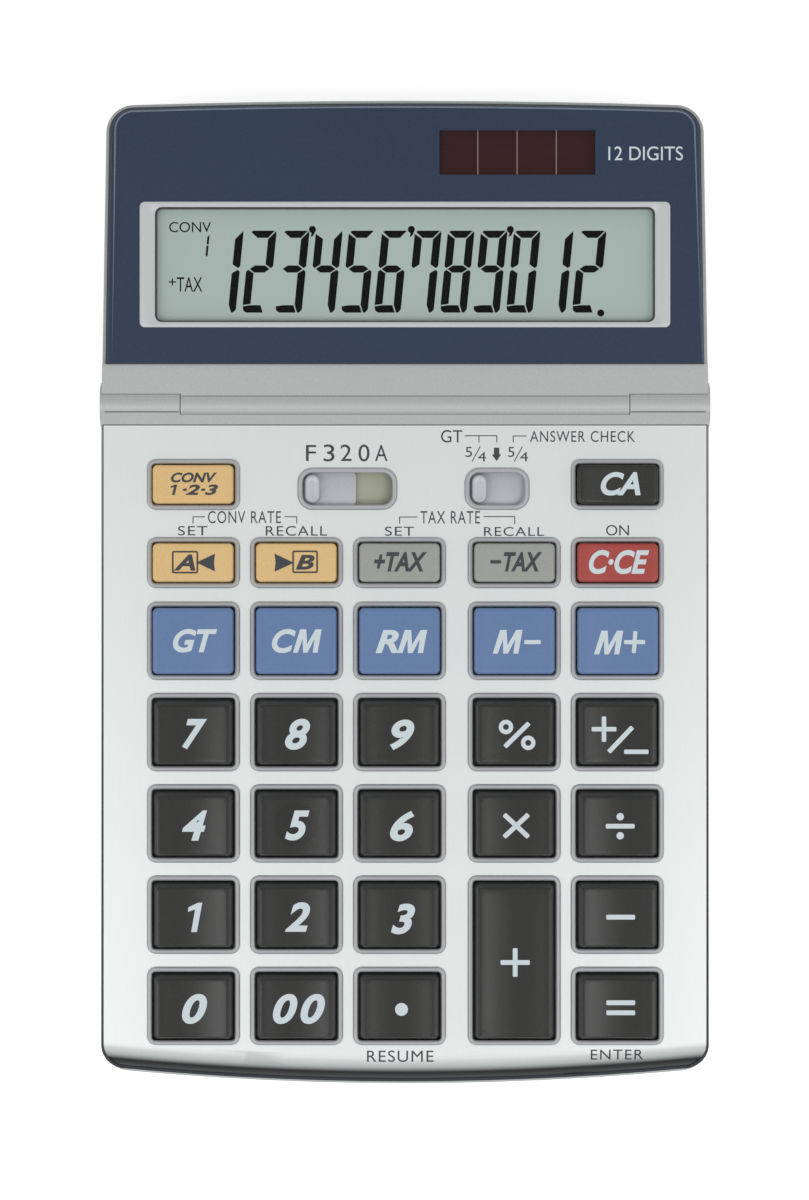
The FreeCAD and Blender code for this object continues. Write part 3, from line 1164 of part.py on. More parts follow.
def display_openings(body):
    """Window with a ledge for its pane, and a shelf with the solar cell on it."""
    pane = new_sketch(body, "pane_seat", offset="-Sizes.panel_drop")
    fit = "2 * Sizes.frame_fit"
    rectangle(pane, f"{PANE_WIDTH} + {fit}", f"{PANE_DEPTH} + {fit}", "0", "Sizes.window_y")
    pocket(body, pane, "Sizes.pane_thickness")
    opening = new_sketch(body, "window", offset="-Sizes.panel_drop")
    ledge = "2 * Sizes.pane_ledge"
    rectangle(opening, f"{PANE_WIDTH} - {ledge}", f"{PANE_DEPTH} - {ledge}", "0", "Sizes.window_y")
    pocket(body, opening, "Sizes.display_deck + 0.5")
    cell = new_sketch(body, "solar_seat", offset="-Sizes.panel_drop")
    rectangle(cell, f"{SOLAR_WIDTH} + {fit}", f"{SOLAR_DEPTH} + {fit}", "Sizes.solar_x", "Sizes.solar_y")
    pocket(body, cell, "Sizes.solar_thickness + Sizes.running_gap")


def back_form(body, tag, inset, floor, start):
    outline = display_outline(body, f"{tag}_outline", "-Sizes.display_parting", inset, start)
    pad(body, outline, f"Sizes.display_bottom - Sizes.display_parting - {floor}", down=True)


def display_back():
    """Back cover of the display: a shallow tub with four screw posts."""
    core = tool_body("back_core")
    back_form(core, "core", "Sizes.display_wall", "Sizes.display_wall", DISPLAY_ROOM)
    body = new_body("display_back")
    back_form(body, "shell", "0", "0", "Sizes.hinge_y + Sizes.cover_start")
    round_edges(body, "corners", "Sizes.display_corner", rear_uprights)
    round_edges(body, "lower_round", "Sizes.display_back_round", on_display_back)
    combine(body, core, "Cut")
    across(body, "barrel_room", "Sizes.barrel_radius + Sizes.barrel_gap", "2 * Sizes.case_width", cut=True)
    columns = octagons(body, "posts", DISPLAY_BOARD_BOTTOM, "Sizes.post_radius", DISPLAY_POSTS)
    length = f"{DISPLAY_BOARD_BOTTOM} + Sizes.display_bottom - Sizes.display_wall / 2"
    pad(body, columns, length, down=True)
    pocket(body, circles(body, "head_rooms", DISPLAY_SCREW_SEAT, HEAD_ROOM, DISPLAY_POSTS))
    shanks = octagons(body, "shank_holes", DISPLAY_BOARD_BOTTOM, SHANK_ROOM, DISPLAY_POSTS)
    pocket(body, shanks, "Sizes.display_screw_seat + 0.5")


def on_display_back(edge):
    """The outer edge of the display's back, but for the side at the hinge."""
    box = edge.BoundBox
    low = abs(box.ZMax + size("Sizes.display_bottom")) < 0.01 and box.ZLength < 0.01
    return low and box.YMax > size("Sizes.hinge_y + Sizes.barrel_radius")


def display_fittings():
    panel = new_body("display_panel")
    place = ("-Sizes.panel_drop", "Sizes.panel_inset", "Sizes.panel_front")
    outline = display_outline(panel, "outline", *place)
    pad(panel, outline, "Sizes.panel_thickness")
    round_edges(panel, "corners", "Sizes.display_corner - Sizes.panel_inset", rear_uprights)
    bevel_edges(panel, "edge", "Sizes.panel_bevel", on_panel_top)
    hole = new_sketch(panel, "frame_hole", offset="-Sizes.panel_drop")
    fit, corner = "2 * Sizes.frame_fit", "Sizes.frame_corner + Sizes.frame_fit"
    width, depth = f"{FRAME_WIDTH} + {fit}", f"{FRAME_DEPTH} + {fit}"
    rectangle(hole, width, depth, "0", "Sizes.window_y", corner)
    pocket(panel, hole, up=True)
    hole = new_sketch(panel, "solar_hole", offset="-Sizes.panel_drop")
    rectangle(hole, "Sizes.solar_width", "Sizes.solar_depth", "Sizes.solar_x", "Sizes.solar_y")
    pocket(panel, hole, up=True)

    frame = new_body("window_frame", y="Sizes.window_y", z="-Sizes.panel_drop")
    outline = new_sketch(frame, "outline")
    rectangle(outline, FRAME_WIDTH, FRAME_DEPTH, corner="Sizes.frame_corner")
    pad(frame, outline, "Sizes.panel_thickness")
    hole = new_sketch(frame, "opening")
    rectangle(hole, OPENING_WIDTH, "Sizes.frame_opening_depth")
    pocket(frame, hole, up=True)

    pane = new_body("window_pane", y="Sizes.window_y", z="-Sizes.panel_drop")
    outline = new_sketch(pane, "outline")
    rectangle(outline, PANE_WIDTH, PANE_DEPTH)
    pad(pane, outline, "Sizes.pane_thickness", down=True)

    cell = new_body("solar_cell", x="Sizes.solar_x", y="Sizes.solar_y", z="-Sizes.panel_drop")
    outline = new_sketch(cell, "outline")
    rectangle(outline, SOLAR_WIDTH, SOLAR_DEPTH)
    pad(cell, outline, "Sizes.solar_thickness", down=True)

    lcd = new_body("lcd_cell", y="Sizes.window_y", z=LCD_TOP)
    glass = new_sketch(lcd, "front_glass")
    rectangle(glass, LCD_WIDTH, LCD_DEPTH)
    pad(lcd, glass, "Sizes.lcd_thickness / 2", down=True)
    glass = new_sketch(lcd, "rear_glass")
    rectangle(glass, LCD_WIDTH, f"{LCD_DEPTH} - 2 * Sizes.lcd_ledge")
    pad(lcd, glass, "Sizes.lcd_thickness", down=True)

    strips = new_body("contact_strips", y="Sizes.window_y", z=STRIP_TOP)
    strips.AllowCompound = True
    outline = new_sketch(strips, "outline")
    for side in ("", "-"):
        off = f"{side}({LCD_DEPTH} - Sizes.strip_depth) / 2"
        rectangle(outline, f"{LCD_WIDTH} - 2 * Sizes.strip_inset", "Sizes.strip_depth", "0", off)
    pad(strips, outline, "Sizes.strip_height", down=True)

    board = new_body("display_board", y="Sizes.window_y", z=DISPLAY_BOARD_TOP)
    outline = new_sketch(board, "outline")
    width = f"({DISPLAY_WIDTH} - 2 * Sizes.display_board_gap)"
    rectangle(outline, width, "Sizes.display_board_depth")
    pad(board, outline, "Sizes.display_board_thickness", down=True)
    spots = [(x, f"({y}) - Sizes.window_y") for x, y in DISPLAY_POSTS]
    pocket(board, octagons(board, "screw_holes", "0", SHANK_ROOM, spots))


def on_panel_top(edge):
    box = edge.BoundBox
    top = size("Sizes.panel_thickness - Sizes.panel_drop")
    level = abs(box.ZMin - top) < 0.01 and abs(box.ZMax - top) < 0.01
    return level and box.YMax > size("Sizes.panel_front") + 1


def hinge_parts():
    pins = new_body("hinge_pins")
    pins.AllowCompound = True
    start = f"{BARREL_HALF} + Sizes.barrel_gap / 2 - Sizes.pin_length / 2"
    shank = new_sketch(pins, "shank", "YZ_Plane", start)
    circle(shank, "Sizes.pin_radius", "Sizes.hinge_y", BARREL_Z)
    mirror(pins, [pad(pins, shank, "Sizes.pin_length")], "both")

    sleeves = new_body("friction_sleeves")
    sleeves.AllowCompound = True
    ring = new_sketch(sleeves, "ring", "YZ_Plane", f"{BARREL_HALF} - Sizes.sleeve_length")
    circle(ring, f"{SLEEVE_BORE} - Sizes.running_gap", "Sizes.hinge_y", BARREL_Z)
    circle(ring, "Sizes.pin_radius + Sizes.running_gap", "Sizes.hinge_y", BARREL_Z)
    tube = pad(sleeves, ring, "Sizes.sleeve_length")
    slit = new_sketch(sleeves, "slit", offset=BARREL_Z)
    slit_x = f"{BARREL_HALF} - Sizes.sleeve_length / 2"
    rectangle(slit, "Sizes.sleeve_length + 1", "Sizes.sleeve_slit", slit_x, "Sizes.hinge_y")
    gap = pocket(sleeves, slit, SLEEVE_BORE)
    mirror(sleeves, [tube, gap], "both")


def ribbon():
    """Flat cable from the keyboard board through the hollow barrel to the display board."""
    body = new_body("ribbon_cable")
    side = new_sketch(body, "side", "YZ_Plane")
    display_board_front = "(Sizes.window_y - Sizes.display_board_depth / 2)"
    start, middle = f"({BOARD_TOP} + Sizes.rest_gap)", f"({BARREL_Z} - Sizes.ribbon_sheet / 2)"
    end = f"({DISPLAY_BOARD_TOP} + Sizes.rest_gap)"
    line = [
        ("Sizes.board_rear - 2.4", start),
        ("Sizes.board_rear - 1.4", start),
        (f"{ROOM_REAR} - Sizes.ribbon_margin", middle),
        (f"{DISPLAY_ROOM} + Sizes.ribbon_margin", middle),
        (f"{display_board_front} + 0.6", end),
        (f"{display_board_front} + 3", end),
    ]
    closed_profile(side, strip_of(line, "Sizes.ribbon_sheet"))
    pad(body, side, "Sizes.ribbon_width", both_ways=True)


def finish():
    """Checks every object, then writes one file for each piece."""
    doc.recompute()
    for item in doc.Objects:
        if {"Invalid", "Error"} & set(item.State):
            raise RuntimeError(f"{item.Label} did not compute: {item.State}")
    os.makedirs("parts", exist_ok=True)
    for item in parts:
        shape = item.Shape
        if shape.isNull() or not shape.isValid():
            raise RuntimeError(f"{item.Label} is not a valid solid")
        shape.exportStep(os.path.join("parts", f"{item.Label}.step"))
        print(f"{item.Label}: {len(shape.Solids)} solid, {shape.Volume:.1f} mm3")


def main():
    face_plate()
    base_top()
    base_bottom()
    battery_parts()
    keyboard()
    for key in KEYS:
        keycap(*key)
    for slide in SLIDES:
        slide_switch(*slide)
    screws("case_screws", "Sizes.screw_length", CASE_SCREW_SEAT, CASE_POSTS)
    cover_screw()
    screws("display_screws", "Sizes.short_screw_length", DISPLAY_SCREW_SEAT, DISPLAY_POSTS)
    feet()
    display_front()
    display_back()
    display_fittings()
    hinge_parts()
    ribbon()
    finish()


main()
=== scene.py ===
"""Looks of a desktop calculator with a tilting display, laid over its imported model.

Lengths in the tables are millimetres in the keyboard's own frame: x to the right, y away from the user,
z square to the keyboard, with its origin on the face plate. IN_ROW_FRAME leans and lifts a finished mesh
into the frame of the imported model.
"""

import math

import bmesh
import bpy
from bpy.props import FloatProperty, FloatVectorProperty, PointerProperty
from mathutils import Matrix, Vector, geometry
from mathutils.bvhtree import BVHTree


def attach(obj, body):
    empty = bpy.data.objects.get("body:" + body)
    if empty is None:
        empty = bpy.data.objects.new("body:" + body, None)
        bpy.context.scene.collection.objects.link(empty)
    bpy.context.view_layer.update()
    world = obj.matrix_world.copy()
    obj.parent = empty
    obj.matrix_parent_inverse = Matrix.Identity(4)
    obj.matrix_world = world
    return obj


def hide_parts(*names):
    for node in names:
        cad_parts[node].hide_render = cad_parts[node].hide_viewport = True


bl_info = {
    "name": "Desktop calculator",
    "version": (1, 0, 0),
    "blender": (4, 5, 0),
    "location": "3D View > Sidebar > Calculator",
    "description": "Keys, printing, display and finishes of a desktop calculator",
    "category": "Object",
}

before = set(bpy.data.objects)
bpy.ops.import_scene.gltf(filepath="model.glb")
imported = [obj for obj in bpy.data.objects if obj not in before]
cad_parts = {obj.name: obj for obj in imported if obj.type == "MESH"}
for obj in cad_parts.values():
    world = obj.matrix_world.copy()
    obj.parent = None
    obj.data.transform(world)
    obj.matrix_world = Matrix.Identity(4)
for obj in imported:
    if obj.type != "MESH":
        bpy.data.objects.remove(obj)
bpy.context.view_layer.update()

MM = 0.001
LEAN = math.radians(3.5)
KEYBOARD_ORIGIN = Vector((0.0, -0.00025335, 0.015915005))
KEYBOARD_UP = Vector((0.0, -math.sin(LEAN), math.cos(LEAN)))
IN_ROW_FRAME = Matrix.Translation(KEYBOARD_ORIGIN) @ Matrix.Rotation(LEAN, 4, "X") @ Matrix.Scale(MM, 4)

# Centres of the key columns from the left, and of the key rows from the top.
COLUMNS = (-38.07, -19.53, -0.99, 19.66, 38.2)
ROWS = (19.53, 5.46, -8.61, -25.04, -41.47, -57.9, -74.33)
ROW_PITCH = 16.43
# Openings of the bezels: width, and depth in the first two rows and in the others. A key is smaller.
OPENING_WIDTH = 16.55
SHORT_OPENING = 9.0
OPENING = 13.95
KEY_MARGIN = 1.0
# The tall key covers rows 5 and 6.
TALL_ROW = 5.5
TALL_Y = ROWS[5] - ROW_PITCH / 2
TALL_OPENING = OPENING + ROW_PITCH

# Key, finish, column, row.
KEYS = (
    ("convert", "orange", 0, 0),
    ("clear_all", "charcoal", 4, 0),
    ("rate_a", "orange", 0, 1),
    ("rate_b", "orange", 1, 1),
    ("tax_plus", "grey", 2, 1),
    ("tax_minus", "grey", 3, 1),
    ("clear", "red", 4, 1),
    ("grand_total", "blue", 0, 2),
    ("memory_clear", "blue", 1, 2),
    ("memory_recall", "blue", 2, 2),
    ("memory_minus", "blue", 3, 2),
    ("memory_plus", "blue", 4, 2),
    ("7", "black", 0, 3),
    ("8", "black", 1, 3),
    ("9", "black", 2, 3),
    ("percent", "black", 3, 3),
    ("sign", "black", 4, 3),
    ("4", "black", 0, 4),
    ("5", "black", 1, 4),
    ("6", "black", 2, 4),
    ("multiply", "black", 3, 4),
    ("divide", "black", 4, 4),
    ("1", "black", 0, 5),
    ("2", "black", 1, 5),
    ("3", "black", 2, 5),
    ("minus", "black", 4, 5),
    ("0", "black", 0, 6),
    ("00", "black", 1, 6),
    ("point", "black", 2, 6),
    ("plus", "black", 3, TALL_ROW),
    ("equals", "black", 4, 6),
)

# Marks on the keys, from the middle of each key: a shape's name, then its sizes.
LEGENDS = {
    "convert": (
        ("words", "CONV", 0.19, 1.19, 8.24, 1.8),
        ("words", "·2·3", 1.35, -1.01, 6.36, 1.89),
        ("outline", "1", -3.4, -1.01, 1.2, 1.89),
    ),
    "clear_all": (("words", "CA", 0.5, 0.07, 7.15, 4.23),),
    "rate_a": (
        ("box", -1.4, 0.07, 4.7, 4.05, 0.3),
        ("words", "A", -1.5, 0.01, 3.9, 2.9),
        ("shape", (0.6, 0.01), (3.97, -1.6), (3.8, 0.0), (3.97, 1.6)),
    ),
    "rate_b": (
        ("box", 1.6, 0.14, 4.6, 4.05, 0.3),
        ("words", "B", 1.6, 0.05, 3.4, 2.65),
        ("shape", (-0.4, -0.04), (-3.88, 1.6), (-3.7, 0.0), (-3.88, -1.65)),
    ),
    "tax_plus": (("words", "+TAX", 0.18, 0.14, 9.54, 3.51),),
    "tax_minus": (("words", "TAX", 1.5, 0.14, 6.88, 3.51), ("bar", -3.37, 0.13, 1.95, 0.62, 0)),
    "clear": (("words", "C·CE", 0.2, 0.1, 10.8, 4.32),),
    "grand_total": (("words", "GT", 0.39, 0.04, 7.92, 4.23),),
    "memory_clear": (("words", "C", -2.2, -0.01, 4.3, 4.32), ("outline", "M", 2.1, -0.01, 5.4, 4.2)),
    "memory_recall": (("words", "R", -2.2, -0.1, 4.2, 4.14), ("outline", "M", 2.4, -0.1, 5.6, 4.14)),
    "memory_minus": (("outline", "M", -1.13, -0.15, 5.6, 4.25), ("bar", 3.22, -0.2, 2.95, 0.74, 0)),
    "memory_plus": (
        ("outline", "M", -1.54, -0.28, 5.5, 4.25),
        ("bar", 3.0, -0.2, 3.78, 0.74, 0),
        ("bar", 3.0, -0.2, 3.95, 0.74, 86),
    ),
    "7": (("words", "7", 0.3, -0.29, 4.5, 5.45),),
    "8": (("words", "8", 0.24, -0.32, 4.5, 5.58),),
    "9": (("words", "9", 0.48, -0.41, 4.37, 5.47),),
    "4": (("words", "4", 0.3, -0.27, 4.5, 5.44),),
    "5": (("words", "5", 0.19, -0.26, 4.41, 5.4),),
    "6": (("words", "6", 0.48, -0.37, 4.37, 5.45),),
    "1": (("outline", "1", 0.41, -0.32, 2.57, 5.26),),
    "2": (("words", "2", 0.24, -0.25, 4.5, 5.31),),
    "3": (("words", "3", 0.63, -0.6, 4.32, 5.51),),
    "0": (("words", "0", 0.3, -0.32, 4.5, 5.4),),
    "00": (("words", "0", -1.98, -0.32, 4.4, 5.4), ("words", "0", 2.97, -0.32, 4.4, 5.4)),
    "percent": (
        ("ring", -1.54, 0.99, 1.3, 0.52),
        ("ring", 2.45, -1.85, 1.3, 0.52),
        ("bar", 0.42, -0.45, 6.1, 0.84, 44.5),
    ),
    "sign": (
        ("bar", -2.49, 0.6, 4.45, 0.8, 0),
        ("bar", -2.49, 0.6, 4.55, 0.8, 90),
        ("bar", 0.49, -1.27, 6.2, 0.84, 46.5),
        ("bar", 3.31, -3.46, 4.36, 0.8, 0),
    ),
    "multiply": (("bar", 0.31, -0.31, 6.0, 0.86, 43), ("bar", 0.31, -0.31, 6.0, 0.86, -43)),
    "divide": (
        ("bar", 0.42, -0.38, 5.16, 0.84, 0),
        ("ring", 0.42, 1.32, 0.66, 0),
        ("ring", 0.42, -2.1, 0.66, 0),
    ),
    "minus": (("bar", 0.51, -0.28, 5.16, 0.86, 0),),
    "equals": (("bar", 0.52, 0.79, 5.16, 0.86, 0), ("bar", 0.52, -1.01, 5.16, 0.86, 0)),
    "plus": (("bar", 0.11, -0.2, 5.25, 0.86, 0), ("bar", 0.11, -0.2, 5.13, 0.86, 90)),
    "point": (("ring", 0.36, -0.41, 1.16, 0),),
}

# Slanted letters drawn as outlines, in a box of width 1 and height 1.
OUTLINES = {
    "M": (
        (0.0, 0.0), (0.165, 0.0), (0.328, 0.6), (0.338, 0.0), (0.486, 0.0), (0.724, 0.6), (0.659, 0.0),
        (0.824, 0.0), (0.959, 1.0), (0.753, 1.0), (0.475, 0.36), (0.448, 1.0), (0.242, 1.0),
    ),
    "1": ((0.22, 0.0), (0.62, 0.0), (1.0, 1.0), (0.7, 1.0), (0.02, 0.84), (0.0, 0.69), (0.5, 0.77)),
}

# The spot on the middle key and the line round it: middle, outer and inner radius, material, thickness.
SPOT_RINGS = (
    (0.02, -0.11, 3.94, 0, 2, 0.012),
    (0.02, -0.11, 4.02, 3.88, 0, 0.05),
)

# Captions on the face plate: words, middle, width and height. More than two letters are spaced out.
CAPTION_SPACING = 1.12
CAPTIONS = (
    ("F", -16.92, 25.2, 1.8, 2.88),
    ("3", -13.68, 25.2, 1.98, 3.06),
    ("2", -10.62, 25.24, 1.98, 2.97),
    ("0", -7.38, 25.2, 1.98, 3.06),
    ("A", -4.27, 25.2, 2.25, 2.88),
    ("GT", 8.41, 28.21, 3.87, 2.25),
    ("ANSWER CHECK", 31.95, 28.17, 18.9, 1.98),
    ("5", 11.47, 25.38, 1.19, 1.8),
    ("4", 13.86, 24.53, 1.44, 1.69),
    ("5", 19.12, 25.38, 1.15, 1.8),
    ("4", 21.42, 24.53, 1.44, 1.69),
    ("CONV RATE", -28.89, 13.65, 13.14, 2.21),
    ("SET", -38.21, 11.21, 5.31, 1.71),
    ("RECALL", -19.55, 11.18, 11.02, 1.76),
    ("TAX RATE", 8.14, 13.63, 10.71, 2.25),
    ("SET", -0.99, 11.12, 5.22, 1.66),
    ("RECALL", 19.62, 11.07, 10.8, 1.62),
    ("ON", 38.25, 11.29, 4.14, 1.89),
    ("RESUME", -0.85, -83.39, 11.97, 2.07),
    ("ENTER", 38.17, -83.12, 9.45, 1.84),
)

PANEL_CAPTION = ("12 DIGITS", 43.3, 79.1, 13.4, 2.5)

# Lines of the brackets and fractions between the captions, from point to point.
CAPTION_LINES = (
    ((10.8, 28.31), (16.52, 28.31), (16.52, 27.18)),
    ((13.32, 28.31), (13.32, 27.18)),
    ((19.48, 27.18), (19.48, 28.26), (21.78, 28.26)),
    ((-38.16, 12.6), (-38.16, 13.72), (-36.09, 13.72)),
    ((-21.6, 13.72), (-19.48, 13.72), (-19.48, 12.6)),
    ((-0.97, 12.53), (-0.97, 13.68), (2.16, 13.68)),
    ((14.22, 13.75), (19.73, 13.75), (19.73, 12.53)),
    ((12.1, 23.72), (13.5, 26.32)),
    ((19.69, 23.72), (21.1, 26.32)),
)
DOWN_ARROW = (
    (16.0, 26.17), (16.0, 24.93), (15.62, 24.93), (16.5, 23.74), (17.3, 24.93), (16.98, 24.93),
    (16.98, 26.17),
)

# Bezel openings that share one size: width, depth, outer corner, and their middles.
BEZELS = (
    (OPENING_WIDTH, SHORT_OPENING, 1.5,
     [(COLUMNS[0], ROWS[0]), (COLUMNS[4], ROWS[0])] + [(x, ROWS[1]) for x in COLUMNS]),
    (OPENING_WIDTH, OPENING, 1.5,
     [(COLUMNS[column], ROWS[row]) for name, tint, column, row in KEYS if row >= 2 and row != TALL_ROW]),
    (OPENING_WIDTH, TALL_OPENING, 1.5, [(COLUMNS[3], TALL_Y)]),
    (17.75, 7.4, 2.6, [(-10.36, 18.76)]),
    (11.5, 7.4, 2.6, [(16.57, 18.76)]),
)
BEZEL_PLAY = 0.1

# Slide switches: name, left end, raised plate's ends, right end and middle of the grip.
SLIDES = (
    ("decimal", -29.63, -18.83, -8.83, -1.88, -16.63),
    ("rounding", 11.22, 11.22, 21.92, 21.92, 13.42),
)
SLIDE_FRONT, SLIDE_REAR = 15.66, 21.86
SLIDE_Y = (SLIDE_FRONT + SLIDE_REAR) / 2
LEG_WIDTH = 1.2
# Blocks of a slide switch: lowest and highest level, corner, bevel and material.
SLIDE_FLOOR = (-3.4, -2.6, 0.4, 0.05, 1)
SLIDE_PLATE = (-2.7, -1.4, 0.8, 0.1, 0)
SLIDE_LEG = (-6.0, -3.3, 0.2, 0.05, 1)
# A grip's half width, half depth and corner, and the ramp's start, length, height and half depth.
GRIP = (1.35, 2.5, 1.25)
RAMP = (1.1, 0.5, 1.25, 1.4)
# Inset and drop from the top of a grip, from its foot to the middle of its dish.
GRIP_PROFILE = (
    (0.0, -2.3), (0.0, -0.5), (0.06, -0.26), (0.18, -0.09), (0.34, 0.0), (0.5, -0.03), (0.75, -0.1),
    (1.05, -0.14),
)

# Screws: node, body, placing, length under the head, and the lowest points of their middles.
SCREWS = (
    ("case_screws", "base", IN_ROW_FRAME, 5.6,
     [(x, y, -9.1) for x in (-49.2, 49.2) for y in (-77.5, 22.0)]),
    ("display_screws", "display", IN_ROW_FRAME, 4.0,
     [(x, y, -8.01) for x in (-49.9, 49.9) for y in (45.12, 73.12)]),
    ("short_screws", "base", Matrix.Scale(MM, 4), 4.0, [(-5.3, 5.75, 1.1)]),
)

# Outlines of the seven segments of a digit, lettered as usual, upright, from the digit's lower left corner.
SEGMENTS = {
    "a": ((3.2, 82.2), (25.0, 82.2), (18.6, 75.0), (8.2, 75.0), (1.3, 80.9)),
    "b": ((26.1, 81.6), (26.75, 79.2), (26.75, 46.6), (24.6, 44.6), (18.9, 48.4), (18.9, 73.6)),
    "c": ((24.6, 43.0), (26.75, 41.0), (26.75, 3.4), (24.4, 0.2), (22.2, 0.0), (19.0, 8.0), (18.9, 39.4)),
    "d": ((0.1, 6.3), (7.4, 7.5), (17.8, 7.5), (20.9, 0.0), (4.2, 0.0), (1.0, 2.2)),
    "e": ((2.2, 43.0), (7.8, 39.4), (7.8, 8.7), (0.0, 7.6), (0.0, 41.0)),
    "f": ((0.0, 79.2), (7.8, 73.8), (7.8, 48.4), (2.2, 44.6), (0.0, 46.6)),
    "g": ((3.4, 43.8), (8.3, 47.3), (18.4, 47.3), (23.4, 43.8), (18.4, 40.2), (8.3, 40.2)),
}
DIGIT_SEGMENTS = (
    "bc", "abged", "abgcd", "fgbc", "afgcd", "afgecd", "fabc", "abcdefg", "abcdfg", "abcdef", "bc", "abged",
)
SEGMENT_UNIT = 0.18
DIGIT_PITCH = 5.955
FIRST_DIGIT_X = -35.4
DIGIT_Y = 50.62
DIGIT_SLANT = 0.1
# From a digit's lower left corner: the middle of the comma before it, its tail, and the point's middle.
COMMA = (0.82, 15.02)
COMMA_TAIL = ((0.72, 14.6), (0.5, 13.6), (1.02, 13.95), (1.44, 14.9))
POINT = (5.24, -0.06)
DOT_RADIUS = 0.64
# The small digit over the tax sign: lower left corner and unit.
SMALL_DIGIT = (-36.95, 60.72, 0.048)
LCD_WORDS = (
    ("CONV", -38.8, 66.06, 7.56, 1.86),
    ("+", -42.0, 56.16, 1.3, 1.3),
    ("TAX", -38.9, 55.72, 4.6, 2.62),
)
LCD_TOP = -2.25
PANEL_TOP = 0.3

# Window frame and the dark ring of painted shade inside its opening, from the inner foot over the top to
# the outer
# foot: half width, half depth, corner and height.
WINDOW_Y = 59.12
WINDOW_LEVELS = (
    (45.0, 10.35, 1.25, -0.78),
    (45.0, 10.35, 1.25, 0.26),
    (45.06, 10.4, 1.27, 0.32),
    (47.62, 11.17, 0.85, 0.32),
    (47.74, 11.29, 0.92, 0.26),
    (47.8, 11.35, 0.95, 0.12),
    (47.8, 11.35, 0.95, -0.78),
    (45.0, 10.35, 1.25, -0.78),
)
SHADE_RING_LEVELS = (
    (44.72, 10.07, 1.1, -0.79),
    (44.72, 10.07, 1.1, -0.6),
    (45.02, 10.37, 1.25, -0.2),
    (45.02, 10.37, 1.25, -0.79),
    (44.72, 10.07, 1.1, -0.79),
)

# Solar cell: left, right, front and rear edge, inset and height of its levels, lines between its cells.
SOLAR_BOX = (5.095, 35.345, 74.185, 84.435)
SOLAR_TOP = -0.8
SOLAR_LEVELS = ((0.0, -1.6), (0.0, -0.86), (0.06, SOLAR_TOP))
SOLAR_LINES = (13.12, 20.2, 27.26)
SOLAR_LINE_LENGTH, SOLAR_LINE_WIDTH = 8.4, 0.22

# Seams of the hinge: piece, CAD node under it, body, slot, and each line's middle, length, width and turn.
SEAM_THICKNESS = 0.012
HINGE_SEAMS = (
    ("barrel_seam", "display_front", "display", "panel_blue", ((0, 35.46, 80.4, 0.1, 0),)),
    ("knuckle_seam", "base_top", "base", "face_sheet",
     ((-47.4, 32.6, 13.4, 0.16, 0), (47.4, 32.6, 13.4, 0.16, 0))),
)

# Points closer than this become one.
MERGE_DISTANCE = 1e-4
# Width of strips for marks on a flat surface, which need no cutting.
UNCUT = 50.0
# Height that rays start from.
ABOVE_ALL = 50.0

# The place of the keyboard frame that the camera looks at, and the floor's radius in metres.
CAMERA_AIM = Vector((-0.09, -1.26, 0.0))
FLOOR_RADIUS = 6.0

# Softboxes over the table, facing down: left, right, front and rear edge, in metres.
SOFTBOX_HEIGHT = 0.9
SOFTBOXES = (
    (-0.63, -0.16, -0.48, -0.1),
    (0.16, 0.63, -0.48, -0.1),
)

# What each material slot of the model is finished with.
SLOT_FINISHES = {
    "case_grey": "grained_case",
    "face_sheet": "satin_sheet",
    "panel_blue": "blue_paint",
    "frame_silver": "silver_paint",
    "window_clear": "clear_window",
    "lcd_glass": "crystal_glass",
    "solar_glass": "cell_glass",
    "key_black": "black_key",
    "key_blue": "blue_key",
    "key_orange": "orange_key",
    "key_grey": "grey_key",
    "key_red": "red_key",
    "slider_grey": "slide_plastic",
    "rubber_grey": "grey_rubber",
    "rubber_black": "black_rubber",
    "board_green": "circuit_board",
    "chip_black": "chip_resin",
    "contact_brass": "contact_brass_sheet",
    "steel": "screw_steel",
    "ribbon_white": "ribbon_film",
}


def shade(red, green, blue):
    """A screen colour, 0 to 255, as Blender's linear colour."""
    steps = (value / 255 for value in (red, green, blue))
    return tuple(v / 12.92 if v <= 0.04045 else ((v + 0.055) / 1.055) ** 2.4 for v in steps)


def colour_property(label, note, red, green, blue):
    return FloatVectorProperty(
        name=label, description=note, subtype="COLOR", size=3, min=0, max=1, default=shade(red, green, blue)
    )


def length_property(label, note, millimetres):
    return FloatProperty(
        name=label, description=note, unit="LENGTH", min=0, precision=5, default=millimetres * MM
    )


class CalculatorColours(bpy.types.PropertyGroup):
    """Colours of the calculator's pieces."""

    case: colour_property("Case", "Moulded case shells", 190, 194, 192)
    sheet: colour_property("Face plate", "Satin sheet over the keyboard", 231, 236, 235)
    # Painted reflection: the dark colour painted on the face plate's front roll, standing in for dark
    # surroundings reflected there.
    sheet_painted_reflection: colour_property("Face plate roll", "Face plate where it rolls over the front", 29, 30, 32)
    bezel: colour_property("Bezels", "Raised rims round keys and switches", 184, 186, 189)
    panel: colour_property("Display panel", "Painted panel round the display window", 36, 54, 80)
    window_frame: colour_property("Window frame", "Silver frame of the display window", 207, 212, 213)
    crystal: colour_property("Display", "Ground of the liquid crystal display", 204, 222, 216)
    solar: colour_property("Solar cell", "Solar cell behind its glass", 58, 29, 28)
    black: colour_property("Black keys", "Number and function keys", 35, 35, 33)
    blue: colour_property("Blue keys", "Memory keys", 101, 130, 177)
    orange: colour_property("Orange keys", "Conversion keys", 236, 198, 134)
    grey: colour_property("Grey keys", "Tax keys", 166, 168, 162)
    red: colour_property("Red key", "Clearing key", 177, 68, 61)
    light_ink: colour_property("Light ink", "Marks on dark keys", 216, 228, 234)
    dark_ink: colour_property("Dark ink", "Marks on pale keys and on the face plate", 58, 62, 68)
    slide: colour_property("Slide switches", "Plates and grips of the slide switches", 200, 204, 207)
    slide_floor: colour_property("Switch floor", "Lower plate of the decimal switch", 190, 192, 173)


